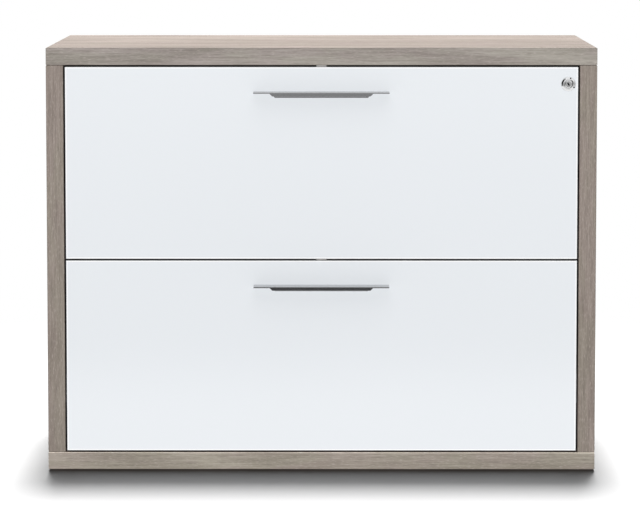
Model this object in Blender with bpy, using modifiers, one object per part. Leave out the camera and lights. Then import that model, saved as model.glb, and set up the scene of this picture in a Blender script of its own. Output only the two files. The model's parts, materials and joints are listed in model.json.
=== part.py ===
"""Two-drawer lateral filing pedestal.

An oak-look case holds two inset white drawers with lip handles, ball-bearing slides, rails for hanging
folders and a central lock. Sizes are in metres, +Z is up and the front faces -Y. The origin is on the
floor, under the middle of the whole object with its handles.
"""

import math

import bmesh
import bpy
from mathutils import Matrix, Vector

# Clearances
FIT_GAP = 0.0003            # between pieces that rest on or fit in each other
RUN_GAP = 0.0006            # between pieces that slide past each other

# Case
CASE_WIDTH = 0.800
CASE_DEPTH = 0.490
CASE_HEIGHT = 0.617         # boards only, without the glides
BOARD = 0.025
BOARD_EDGE = 0.001          # radius of the edge banding
BACK_BOARD = 0.006
BACK_INSET = 0.012          # from the rear edges to the back panel
BACK_TONGUE = 0.008         # depth of the back panel in its groove

# Floor glides
GLIDE_HEIGHT = 0.003
GLIDE_DIAMETER = 0.028
GLIDE_EDGE = 0.001
GLIDE_INSET = 0.040         # from the case's edges to a glide's centre
GLIDE_NAIL_DIAMETER = 0.003
GLIDE_NAIL_LENGTH = 0.014

# Drawer fronts
FRONT_THICKNESS = 0.018
FRONT_EDGE = 0.0008
SIDE_REVEAL = 0.0025        # gaps around the fronts
TOP_REVEAL = 0.0025
MIDDLE_REVEAL = 0.002
BOTTOM_REVEAL = 0.0025
PAD_WIDTH = 0.015           # soft pad in the gap above each front
PAD_DEPTH = 0.008
PAD_SETBACK = 0.0012        # from the front's face, past its rounded edge

# Drawer boxes
BOX_BOARD = 0.012
BOX_LIFT = 0.010            # from the front's lower edge to the box
BOX_TOP_DROP = 0.019        # from the front's top edge to the box
BOX_REAR_CLEARANCE = 0.024  # from the box to the back panel
BOX_BOTTOM = 0.006
BOX_BOTTOM_RISE = 0.008     # from the lower edge of the box to its bottom
BOX_GROOVE = 0.005

# Rails for hanging folders
FILE_RAIL_THICKNESS = 0.003
FILE_RAIL_HEIGHT = 0.014
FILE_RAIL_PROUD = 0.004     # above the box sides
FILE_RAIL_END = 0.002       # short of the outer faces of the box sides
FILE_RAIL_FRONT = 0.045     # from the front panel to the front rail
FILE_RAIL_REAR = 0.059      # from the box back to the rear rail

# Ball-bearing slides
SLIDE_SPACE = 0.013         # between the case side and the box side
SLIDE_HEIGHT = 0.045
SLIDE_STEEL = 0.0012
SLIDE_LIP = 0.001
SLIDE_RISE = 0.090          # from the front's lower edge to the slide's middle
SLIDE_FRONT_MARGIN = 0.003  # from the front panel
SLIDE_REAR_MARGIN = 0.027   # from the rear end of the box
FLANGE_CLEARANCE = 0.0012   # from the flanges to the drawer rail's web
BALL_DIAMETER = 0.003
BALL_PLAY = 0.0001
BALLS_PER_ROW = 3
CAGE_STEEL = 0.0006
CAGE_END_MARGIN = 0.005
CAGE_FLANGE_REST = 0.0021   # past the balls' centres

# Handles
HANDLE_GRIP = 0.150         # length of the turned-down lip under the plate
HANDLE_EAR = 0.0235         # plain plate beyond the lip, at each end
HANDLE_PROJECTION = 0.030
HANDLE_METAL = 0.002
HANDLE_LIP = 0.0065
HANDLE_LEG = 0.0095         # hidden leg against the front panel
HANDLE_DROP = 0.0355        # from the front's top edge to the plate
HANDLE_SCREW_MARGIN = 0.011 # from the end of the grip to a screw
SCREW_DIAMETER = 0.004
SCREW_HEAD_DIAMETER = 0.008
SCREW_HEAD_HEIGHT = 0.0025

# Lock
LOCK_INSET = 0.0143         # from the upper front's right edge to the lock's axis
LOCK_DROP = 0.025           # from the upper front's top edge to the lock's axis
LOCK_RIM_DIAMETER = 0.0204
LOCK_RIM_HEIGHT = 0.0025
LOCK_RIM_FLAT = 0.0152      # diameter of the rim's front flat
LOCK_RIM_EDGE = 0.0009
LOCK_BARREL_DIAMETER = 0.016
LOCK_BARREL_PROUD = 0.006   # behind the front panel
LOCK_PLUG_DIAMETER = 0.012
LOCK_PLUG_FLAT = 0.009
LOCK_PLUG_RECESS = 0.0006
LOCK_PLUG_CHAMFER = 0.0010
KEYWAY_WIDTH = 0.0022
KEYWAY_HEIGHT = 0.0062
KEYWAY_DEPTH = 0.012
KEYWAY_TILT = math.radians(31)
LOCK_NUT_DIAMETER = 0.022
LOCK_NUT_THICKNESS = 0.0035
LOCK_TAIL = 0.005           # side of the square tail that turns the cam
LOCK_TAIL_PROUD = 0.001     # behind the cam
CAM_THICKNESS = 0.003
CAM_HUB_DIAMETER = 0.013
CAM_TIP_WALL = 0.002
PEG_DIAMETER = 0.004
PEG_PROUD = 0.0015          # behind the fork
LOCK_SWING = math.radians(45)  # of the peg, below and above the lock's axis

# Locking bar
BAR_DEPTH = 0.010
BAR_THICKNESS = 0.006
BAR_TAIL = 0.012            # below the lower lug
FORK_THICKNESS = 0.003
FORK_PRONG = 0.003
FORK_CLEARANCE = 0.0015     # behind the cam
FORK_PLAY = 0.0006
LUG_DEPTH = 0.008
LUG_HEIGHT = 0.008
LUG_REACH = 0.008           # out of the case side
LUG_RISE = 0.025            # above the slide
CATCH_PLAY = 0.001          # between lug and tooth when locked
CATCH_CLEARANCE = 0.0015    # between lug and tooth when unlocked
CATCH_PLATE = 0.002
CATCH_PLATE_DEPTH = 0.030
CATCH_PLATE_MARGIN = 0.004  # of the plate round the tooth
TOOTH_DEPTH = 0.008
TOOTH_END = 0.0025          # from the tooth to the case side
GUIDE_THICKNESS = 0.0015
GUIDE_HEIGHT = 0.010
GUIDE_WING = 0.008          # beyond the bar, on each side
GUIDE_RISE = 0.005          # above the slide

# Facets
EDGE_SEGMENTS = 2
ROUND_SEGMENTS = 32
SMALL_SEGMENTS = 16
BALL_SEGMENTS = 8
BALL_RINGS = 6
WELD = 0.00001              # points closer than this are one
SHARP_ANGLE = math.radians(40)  # faces that meet at more than this keep a sharp edge
CUT_OVERSHOOT = 0.002       # a cutter's reach past the face it opens
JOIN_OVERLAP = 0.0005       # of two shapes that are joined into one piece

# Places of the case
OPENING_HALF = CASE_WIDTH / 2 - BOARD
HANDLE_REACH = FIT_GAP + HANDLE_PROJECTION
CASE_FRONT = (HANDLE_REACH - CASE_DEPTH) / 2
CASE_REAR = CASE_FRONT + CASE_DEPTH
CASE_BASE = GLIDE_HEIGHT + FIT_GAP
CASE_TOP = CASE_BASE + CASE_HEIGHT

# Places of the drawers. A drawer's own frame has its origin at the middle of the lower edge of the
# front panel's rear face.
FRONT_HEIGHT = (CASE_HEIGHT - 2 * BOARD - TOP_REVEAL - MIDDLE_REVEAL - BOTTOM_REVEAL) / 2
FRONT_HALF = OPENING_HALF - SIDE_REVEAL
DRAWER_Y = CASE_FRONT + FRONT_THICKNESS
LOWER_Z = CASE_BASE + BOARD + BOTTOM_REVEAL
UPPER_Z = LOWER_Z + FRONT_HEIGHT + MIDDLE_REVEAL
BOX_OUTER = OPENING_HALF - SLIDE_SPACE
BOX_INNER = BOX_OUTER - BOX_BOARD
BOX_DEPTH = CASE_DEPTH - FRONT_THICKNESS - BACK_INSET - BACK_BOARD - BOX_REAR_CLEARANCE
BOX_TOP = FRONT_HEIGHT - BOX_TOP_DROP
BOTTOM_LOW = BOX_LIFT + BOX_BOTTOM_RISE
BOTTOM_HIGH = BOTTOM_LOW + BOX_BOTTOM
FILE_RAIL_LOW = BOX_TOP + FILE_RAIL_PROUD - FILE_RAIL_HEIGHT
FILE_RAIL_MIDDLES = (FILE_RAIL_FRONT, BOX_DEPTH - BOX_BOARD - FILE_RAIL_REAR)

# Places in a slide: half-heights of the members, and distances from the case side
BALL_TRACK = BALL_DIAMETER + 2 * BALL_PLAY
CASE_RAIL_HALF = SLIDE_HEIGHT / 2
MIDDLE_RAIL_HALF = CASE_RAIL_HALF - SLIDE_STEEL - BALL_TRACK
DRAWER_RAIL_HALF = MIDDLE_RAIL_HALF - SLIDE_STEEL - BALL_TRACK
OUTER_TRACK = CASE_RAIL_HALF - SLIDE_STEEL - BALL_TRACK / 2
INNER_TRACK = MIDDLE_RAIL_HALF - SLIDE_STEEL - BALL_TRACK / 2
CASE_WEB = FIT_GAP
OUTER_CAGE_WEB = CASE_WEB + SLIDE_STEEL + FIT_GAP
MIDDLE_WEB = OUTER_CAGE_WEB + CAGE_STEEL + FIT_GAP
INNER_CAGE_WEB = MIDDLE_WEB + SLIDE_STEEL + FIT_GAP
DRAWER_WEB = SLIDE_SPACE - FIT_GAP
FLANGE_END = DRAWER_WEB - SLIDE_STEEL - FLANGE_CLEARANCE
DRAWER_FLANGE_END = INNER_CAGE_WEB + CAGE_STEEL + RUN_GAP
OUTER_BALLS = (MIDDLE_WEB + FLANGE_END) / 2
INNER_BALLS = (DRAWER_FLANGE_END + FLANGE_END) / 2
SLIDE_LENGTH = BOX_DEPTH - SLIDE_FRONT_MARGIN - SLIDE_REAR_MARGIN
SLIDE_MIDDLE = SLIDE_FRONT_MARGIN + SLIDE_LENGTH / 2
CAGE_LENGTH = SLIDE_LENGTH / 2 - 2 * CAGE_END_MARGIN

# Places of the lock, in the upper drawer's frame. The peg stays between the box side and the case side.
LOCK_X = FRONT_HALF - LOCK_INSET
LOCK_Z = FRONT_HEIGHT - LOCK_DROP
LOCK_BORE = LOCK_PLUG_DIAMETER / 2 + FIT_GAP
BARREL_LENGTH = FRONT_THICKNESS + LOCK_BARREL_PROUD
PEG_OUT = SIDE_REVEAL + LOCK_INSET - (SLIDE_SPACE - RUN_GAP - PEG_DIAMETER / 2)
PEG_THROW = PEG_OUT / math.cos(LOCK_SWING)
BAR_LIFT = 2 * PEG_THROW * math.sin(LOCK_SWING)
CAM_TIP_RADIUS = PEG_DIAMETER / 2 + CAM_TIP_WALL
CAM_SWEEP = PEG_THROW + CAM_TIP_RADIUS
CAM_FRONT = LOCK_BARREL_PROUD + FIT_GAP
CAM_REAR = CAM_FRONT + CAM_THICKNESS

# Places of the locking bar, in a drawer's frame
BAR_Y = CAM_REAR + FORK_CLEARANCE + FORK_THICKNESS / 2
FORK_Z = LOCK_Z - BAR_LIFT / 2
FORK_SLOT_HALF = PEG_DIAMETER / 2 + FORK_PLAY
SLIDE_TOP = SLIDE_RISE + SLIDE_HEIGHT / 2
LUG_LOW = SLIDE_TOP + LUG_RISE
LUG_HIGH = LUG_LOW + LUG_HEIGHT
TOOTH_LOW = LUG_HIGH + CATCH_CLEARANCE
TOOTH_HIGH = TOOTH_LOW + BAR_LIFT
TOOTH_Y = BAR_Y + LUG_DEPTH / 2 + CATCH_PLAY

# Finishes: colour, roughness and metallic value
FINISHES = {
    "grey_oak_laminate": ((0.300, 0.262, 0.226), 0.45, 0.0),
    "white_gloss_lacquer": ((0.830, 0.840, 0.855), 0.12, 0.0),
    "white_melamine": ((0.700, 0.700, 0.690), 0.50, 0.0),
    "satin_aluminium": ((0.560, 0.565, 0.570), 0.32, 1.0),
    "polished_chrome": ((0.780, 0.790, 0.800), 0.10, 1.0),
    "zinc_plated_steel": ((0.600, 0.610, 0.620), 0.35, 1.0),
    "clear_grey_plastic": ((0.480, 0.460, 0.440), 0.40, 0.0),
    "black_plastic": ((0.030, 0.030, 0.032), 0.50, 0.0),
}


def new_collection(name):
    """An empty collection in the scene."""
    collection = bpy.data.collections.new(name)
    bpy.context.scene.collection.children.link(collection)
    return collection


for old in list(bpy.data.objects):
    bpy.data.objects.remove(old, do_unlink=True)
PARTS = new_collection("lateral_filing_pedestal")
TOOLS = new_collection("cutters")


def finish(name):
    """The material of one finish, made at its first use."""
    material = bpy.data.materials.get(name)
    if material is None:
        colour, roughness, metallic = FINISHES[name]
        material = bpy.data.materials.new(name)
        material.use_nodes = True
        shader = material.node_tree.nodes["Principled BSDF"]
        shader.inputs["Base Color"].default_value = (*colour, 1.0)
        shader.inputs["Roughness"].default_value = roughness
        shader.inputs["Metallic"].default_value = metallic
    return material


def empty(name, location, parent=None):
    """The frame of a body, at its joint."""
    frame = bpy.data.objects.new(name, None)
    frame.location = location
    frame.parent = parent
    PARTS.objects.link(frame)
    return frame


def add(piece, parent, finish_name):
    """Puts a piece in the model, in its parent's frame."""
    piece.parent = parent
    piece.data.materials.append(finish(finish_name))
    PARTS.objects.link(piece)
    return piece


def combine(piece, tool, operation):
    """Cuts a hidden tool from a piece, or joins it on. The tool is given in the same parent's frame."""
    tool.parent = piece.parent
    tool.hide_render = True
    tool.display_type = "WIRE"
    if tool.name not in TOOLS.objects:
        TOOLS.objects.link(tool)
    modifier = piece.modifiers.new(tool.name, "BOOLEAN")
    modifier.operation = operation
    modifier.object = tool


def cut(piece, *tools):
    """Takes each tool's shape out of a piece."""
    for tool in tools:
        combine(piece, tool, "DIFFERENCE")


def join(piece, *tools):
    """Makes each tool's shape part of a piece."""
    for tool in tools:
        combine(piece, tool, "UNION")


def mesh_object(name, shape):
    """An object from a finished bmesh."""
    mesh = bpy.data.meshes.new(name)
    shape.to_mesh(mesh)
    shape.free()
    return bpy.data.objects.new(name, mesh)


def block(name, low, high):
    """A box between two corners, with its origin at its middle."""
    low, high = Vector(low), Vector(high)
    shape = bmesh.new()
    bmesh.ops.create_cube(shape, size=1.0)
    bmesh.ops.scale(shape, vec=high - low, verts=shape.verts)
    piece = mesh_object(name, shape)
    piece.location = (low + high) / 2
    return piece


def rod(name, radius, length, segments):
    """A cylinder along local Z, about its middle."""
    shape = bmesh.new()
    bmesh.ops.create_cone(shape, cap_ends=True, segments=segments, radius1=radius, radius2=radius, depth=length)
    return mesh_object(name, shape)


def turned(name, profile, segments, hollow=False):
    """A profile of (radius, height) turned about local Z. Its outer points run from top to bottom."""
    last = len(profile) - 1
    edges = [(i, i + 1) for i in range(last)]
    if hollow:
        edges.append((last, 0))
    mesh = bpy.data.meshes.new(name)
    mesh.from_pydata([(radius, 0.0, height) for radius, height in profile], edges, [])
    piece = bpy.data.objects.new(name, mesh)
    screw = piece.modifiers.new("turning", "SCREW")
    screw.steps = segments
    screw.render_steps = segments
    screw.use_merge_vertices = True
    screw.merge_threshold = WELD
    return as_mesh(piece)


def extruded(name, outline, length):
    """A closed outline in local X and Y, given a length along local Z about its middle."""
    curve = bpy.data.curves.new(name, "CURVE")
    curve.dimensions = "2D"
    curve.fill_mode = "BOTH"
    curve.extrude = length / 2
    spline = curve.splines.new("POLY")
    spline.points.add(len(outline) - 1)
    for point, (x, y) in zip(spline.points, outline):
        point.co = (x, y, 0.0, 1.0)
    spline.use_cyclic_u = True
    spline.use_smooth = False
    return bpy.data.objects.new(name, curve)


def as_mesh(draft):
    """A turned or extruded piece as a closed mesh, smooth up to its sharp edges, that can be cut and joined."""
    TOOLS.objects.link(draft)
    graph = bpy.context.evaluated_depsgraph_get()
    mesh = bpy.data.meshes.new_from_object(draft.evaluated_get(graph))
    shape = bmesh.new()
    shape.from_mesh(mesh)
    bmesh.ops.remove_doubles(shape, verts=shape.verts, dist=WELD)
    shape.to_mesh(mesh)
    shape.free()
    mesh.shade_smooth()
    mesh.set_sharp_from_angle(angle=SHARP_ANGLE)
    name = draft.name
    matrix = draft.matrix_world.copy()
    bpy.data.objects.remove(draft, do_unlink=True)
    piece = bpy.data.objects.new(name, mesh)
    piece.matrix_world = matrix
    return piece


def face_front(piece, location, spin=0.0):
    """Turns local Z to the front, with local X to the right, and spins the piece about that axis."""
    piece.rotation_euler = (math.pi / 2, -spin, 0.0)
    piece.location = location
    return piece


def round_edges(piece, radius):
    """Small round on all edges of a board."""
    bevel = piece.modifiers.new("edge", "BEVEL")
    bevel.width = radius
    bevel.segments = EDGE_SEGMENTS


def case_boards(case):
    """Four thick boards, the top and bottom running over the ends of the sides, and a grooved-in back."""
    half = CASE_WIDTH / 2
    side_low = CASE_BASE + BOARD + FIT_GAP
    side_high = CASE_TOP - BOARD - FIT_GAP
    extents = {
        "top_panel": ((-half, CASE_FRONT, CASE_TOP - BOARD), (half, CASE_REAR, CASE_TOP)),
        "bottom_panel": ((-half, CASE_FRONT, CASE_BASE), (half, CASE_REAR, CASE_BASE + BOARD)),
        "left_side_panel": ((-half, CASE_FRONT, side_low), (-OPENING_HALF, CASE_REAR, side_high)),
        "right_side_panel": ((OPENING_HALF, CASE_FRONT, side_low), (half, CASE_REAR, side_high)),
    }
    groove_half = OPENING_HALF + BACK_TONGUE
    groove_low = CASE_BASE + BOARD - BACK_TONGUE
    groove_high = CASE_TOP - BOARD + BACK_TONGUE
    back_rear = CASE_REAR - BACK_INSET
    back_front = back_rear - BACK_BOARD
    groove = block(
        "back_groove",
        (-groove_half, back_front - FIT_GAP, groove_low),
        (groove_half, back_rear + FIT_GAP, groove_high),
    )
    boards = {}
    for name, (low, high) in extents.items():
        board = add(block(name, low, high), case, "grey_oak_laminate")
        round_edges(board, BOARD_EDGE)
        cut(board, groove)
        boards[name] = board
    back = block(
        "back_panel",
        (FIT_GAP - groove_half, back_front, groove_low + FIT_GAP),
        (groove_half - FIT_GAP, back_rear, groove_high - FIT_GAP),
    )
    add(back, case, "grey_oak_laminate")
    return boards


def floor_glides(case, bottom_panel):
    """Four round glides, each nailed into the bottom panel."""
    radius = GLIDE_DIAMETER / 2
    nail = GLIDE_NAIL_DIAMETER / 2
    profile = (
        (0.0, GLIDE_HEIGHT + GLIDE_NAIL_LENGTH),
        (nail, GLIDE_HEIGHT + GLIDE_NAIL_LENGTH),
        (nail, GLIDE_HEIGHT),
        (radius, GLIDE_HEIGHT),
        (radius, GLIDE_EDGE),
        (radius - GLIDE_EDGE, 0.0),
        (0.0, 0.0),
    )
    right = CASE_WIDTH / 2 - GLIDE_INSET
    spots = {
        "front_left": (-right, CASE_FRONT + GLIDE_INSET),
        "front_right": (right, CASE_FRONT + GLIDE_INSET),
        "rear_left": (-right, CASE_REAR - GLIDE_INSET),
        "rear_right": (right, CASE_REAR - GLIDE_INSET),
    }
    for spot, (x, y) in spots.items():
        glide = turned(f"{spot}_floor_glide", profile, ROUND_SEGMENTS)
        glide.location = (x, y, 0.0)
        add(glide, case, "black_plastic")
        hole_top = GLIDE_HEIGHT + GLIDE_NAIL_LENGTH + FIT_GAP
        hole = rod(f"{spot}_nail_hole", nail + FIT_GAP, 2 * hole_top, SMALL_SEGMENTS)
        hole.location = (x, y, 0.0)
        cut(bottom_panel, hole)


def channel(web, flange_end, half_height, metal, lip=0.0):
    """Outline of a channel: its web's back at one distance from the case side, its flanges' ends at another."""
    way = math.copysign(1.0, flange_end - web)
    inner = half_height - metal
    upper = [
        (web + way * metal, inner),
        (flange_end, inner),
        (flange_end, half_height),
        (web, half_height),
    ]
    if lip:
        lip_back = flange_end - way * metal
        upper[1:2] = [(lip_back, inner), (lip_back, inner - lip), (flange_end, inner - lip)]
    lower = [(distance, -height) for distance, height in reversed(upper)]
    return upper + lower


def slide_piece(name, side, outline, length):
    """A length of slide section. Side is 1 for the right of the case and -1 for the left."""
    points = [(side * (OPENING_HALF - distance), height) for distance, height in outline]
    return face_front(extruded(name, points, length), (0.0, SLIDE_MIDDLE, SLIDE_RISE))


def ball_cage(name, side, web, balls_out, track, frame):
    """A pressed strip that holds a row of balls above and a row below."""
    outline = channel(web, balls_out + CAGE_FLANGE_REST, track + CAGE_STEEL / 2, CAGE_STEEL)
    strip = slide_piece(name, side, outline, CAGE_LENGTH)
    cage = add(as_mesh(strip), frame, "zinc_plated_steel")
    shape = bmesh.new()
    pitch = CAGE_LENGTH / BALLS_PER_ROW
    for height in (-track, track):
        for i in range(BALLS_PER_ROW):
            along = (i + 0.5) * pitch - CAGE_LENGTH / 2
            middle = (side * (OPENING_HALF - balls_out), SLIDE_MIDDLE + along, SLIDE_RISE + height)
            bmesh.ops.create_uvsphere(
                shape,
                u_segments=BALL_SEGMENTS,
                v_segments=BALL_RINGS,
                radius=BALL_DIAMETER / 2,
                matrix=Matrix.Translation(middle),
            )
    for face in shape.faces:
        face.smooth = True
    join(cage, mesh_object(f"{name}_balls", shape))


def drawer_slides(level, place, drawer):
    """Two slides with a case rail, a middle rail, a drawer rail and two ball cages each."""
    case_rails = empty(f"{level}_case_rails", place)
    middle_rails = empty(f"{level}_middle_rails", place)
    outer_cages = empty(f"{level}_outer_ball_cages", place)
    inner_cages = empty(f"{level}_inner_ball_cages", place)
    case_outline = channel(CASE_WEB, FLANGE_END, CASE_RAIL_HALF, SLIDE_STEEL, SLIDE_LIP)
    middle_outline = channel(MIDDLE_WEB, FLANGE_END, MIDDLE_RAIL_HALF, SLIDE_STEEL)
    drawer_outline = channel(DRAWER_WEB, DRAWER_FLANGE_END, DRAWER_RAIL_HALF, SLIDE_STEEL)
    for hand, side in (("left", -1), ("right", 1)):
        rails = (
            ("case_rail", case_outline, case_rails),
            ("middle_rail", middle_outline, middle_rails),
            ("drawer_rail", drawer_outline, drawer),
        )
        for rail, outline, frame in rails:
            piece = slide_piece(f"{level}_{hand}_{rail}", side, outline, SLIDE_LENGTH)
            add(piece, frame, "zinc_plated_steel")
        outer = f"{level}_{hand}_outer_ball_cage"
        ball_cage(outer, side, OUTER_CAGE_WEB, OUTER_BALLS, OUTER_TRACK, outer_cages)
        inner = f"{level}_{hand}_inner_ball_cage"
        ball_cage(inner, side, INNER_CAGE_WEB, INNER_BALLS, INNER_TRACK, inner_cages)


def drawer_front(level, drawer):
    """White front panel, grooved at the rear for the box bottom."""
    front = block(
        f"{level}_drawer_front",
        (-FRONT_HALF, -FRONT_THICKNESS, 0.0),
        (FRONT_HALF, 0.0, FRONT_HEIGHT),
    )
    add(front, drawer, "white_gloss_lacquer")
    round_edges(front, FRONT_EDGE)
    groove_half = BOX_INNER + BOX_GROOVE
    groove = block(
        f"{level}_front_groove",
        (-groove_half, -BOX_GROOVE, BOTTOM_LOW - FIT_GAP),
        (groove_half, CUT_OVERSHOOT, BOTTOM_HIGH + FIT_GAP),
    )
    cut(front, groove)
    return front


def gap_pad(level, drawer, gap):
    """Soft pad on the front's top edge, which all but fills the gap above it."""
    pad_front = PAD_SETBACK - FRONT_THICKNESS
    pad = block(
        f"{level}_gap_pad",
        (-PAD_WIDTH / 2, pad_front, FRONT_HEIGHT + FIT_GAP),
        (PAD_WIDTH / 2, pad_front + PAD_DEPTH, FRONT_HEIGHT + gap - FIT_GAP),
    )
    add(pad, drawer, "clear_grey_plastic")


def drawer_box(level, drawer):
    """Two sides, a back between them, a grooved-in bottom and two rails for hanging folders."""
    bottom_half = BOX_INNER + BOX_GROOVE - FIT_GAP
    bottom = block(
        f"{level}_box_bottom",
        (-bottom_half, FIT_GAP - BOX_GROOVE, BOTTOM_LOW),
        (bottom_half, BOX_DEPTH, BOTTOM_HIGH),
    )
    add(bottom, drawer, "white_melamine")
    back_half = BOX_INNER - FIT_GAP
    back = block(
        f"{level}_box_back",
        (-back_half, BOX_DEPTH - BOX_BOARD, BOTTOM_HIGH + FIT_GAP),
        (back_half, BOX_DEPTH, BOX_TOP),
    )
    add(back, drawer, "white_melamine")

    groove_half = BOX_INNER + BOX_GROOVE
    sides = {}
    for hand, side in (("left", -1), ("right", 1)):
        near, far = sorted((side * BOX_INNER, side * BOX_OUTER))
        board = block(f"{level}_box_{hand}_side", (near, FIT_GAP, BOX_LIFT), (far, BOX_DEPTH, BOX_TOP))
        add(board, drawer, "white_melamine")
        groove = block(
            f"{level}_{hand}_side_groove",
            (-groove_half, -CUT_OVERSHOOT, BOTTOM_LOW - FIT_GAP),
            (groove_half, BOX_DEPTH + CUT_OVERSHOOT, BOTTOM_HIGH + FIT_GAP),
        )
        cut(board, groove)
        sides[hand] = board

    rail_half = BOX_OUTER - FILE_RAIL_END
    slot_half = BOX_OUTER + CUT_OVERSHOOT
    for place, middle in zip(("front", "rear"), FILE_RAIL_MIDDLES):
        rail_front = middle - FILE_RAIL_THICKNESS / 2
        rail_back = middle + FILE_RAIL_THICKNESS / 2
        rail = block(
            f"{level}_{place}_file_rail",
            (-rail_half, rail_front, FILE_RAIL_LOW),
            (rail_half, rail_back, FILE_RAIL_LOW + FILE_RAIL_HEIGHT),
        )
        add(rail, drawer, "zinc_plated_steel")
        for hand in sides:
            slot = block(
                f"{level}_{hand}_{place}_rail_slot",
                (-slot_half, rail_front - FIT_GAP, FILE_RAIL_LOW - FIT_GAP),
                (slot_half, rail_back + FIT_GAP, BOX_TOP + CUT_OVERSHOOT),
            )
            cut(sides[hand], slot)
    return sides


def handle(level, drawer, front):
    """Aluminium lip handle: a plate with a turned-down lip, and a leg screwed on from behind the front."""
    top = FRONT_HEIGHT - HANDLE_DROP
    rear = -FRONT_THICKNESS - FIT_GAP
    tip = rear - HANDLE_PROJECTION
    section = (
        (rear, top),
        (tip, top),
        (tip, top - HANDLE_LIP),
        (tip + HANDLE_METAL, top - HANDLE_LIP),
        (tip + HANDLE_METAL, top - HANDLE_METAL),
        (rear - HANDLE_METAL, top - HANDLE_METAL),
        (rear - HANDLE_METAL, top - HANDLE_LEG),
        (rear, top - HANDLE_LEG),
    )
    profile = extruded(f"{level}_handle", section, HANDLE_GRIP + 2 * HANDLE_EAR)
    profile.rotation_euler = (math.pi / 2, 0.0, math.pi / 2)
    grip = add(as_mesh(profile), drawer, "satin_aluminium")

    # The lip and the leg end in a mitre under the plate.
    grip_half = HANDLE_GRIP / 2
    under = top - HANDLE_METAL
    low = top - HANDLE_LEG - CUT_OVERSHOOT
    past_end = grip_half + HANDLE_EAR + CUT_OVERSHOOT
    cutter_depth = 2 * (HANDLE_PROJECTION + CUT_OVERSHOOT)
    for hand, side in (("left", -1), ("right", 1)):
        mitre = (
            (side * grip_half, under),
            (side * past_end, under),
            (side * past_end, low),
            (side * (grip_half - (under - low)), low),
        )
        cutter = extruded(f"{level}_{hand}_handle_mitre", mitre, cutter_depth)
        cut(grip, as_mesh(face_front(cutter, (0.0, rear - HANDLE_PROJECTION / 2, 0.0))))

    radius = SCREW_DIAMETER / 2
    head = SCREW_HEAD_DIAMETER / 2
    length = FRONT_THICKNESS + 2 * FIT_GAP + HANDLE_METAL
    screw_profile = (
        (0.0, length),
        (radius, length),
        (radius, 0.0),
        (head, 0.0),
        (head, -SCREW_HEAD_HEIGHT),
        (0.0, -SCREW_HEAD_HEIGHT),
    )
    screw_x = grip_half - HANDLE_SCREW_MARGIN
    screw_z = top - (HANDLE_LEG + HANDLE_METAL) / 2
    for hand, side in (("left", -1), ("right", 1)):
        screw = turned(f"{level}_handle_{hand}_screw", screw_profile, SMALL_SEGMENTS)
        add(face_front(screw, (side * screw_x, FIT_GAP, screw_z)), drawer, "zinc_plated_steel")
        reach = 2 * (length + CUT_OVERSHOOT)
        for target in (front, grip):
            hole = rod(f"{target.name}_{hand}_screw_hole", radius + FIT_GAP, reach, SMALL_SEGMENTS)
            cut(target, face_front(hole, (side * screw_x, 0.0, screw_z)))


def cam_outline():
    """A hub and a smaller tip on one lever, along local X."""
    hub = CAM_HUB_DIAMETER / 2
    lean = math.acos((hub - CAM_TIP_RADIUS) / PEG_THROW)
    arcs = (
        (0.0, hub, lean, 2 * math.pi - lean),
        (PEG_THROW, CAM_TIP_RADIUS, -lean, lean),
    )
    points = []
    for middle, radius, start, end in arcs:
        for i in range(SMALL_SEGMENTS + 1):
            angle = start + (end - start) * i / SMALL_SEGMENTS
            points.append((middle + radius * math.cos(angle), radius * math.sin(angle)))
    return points


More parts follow.
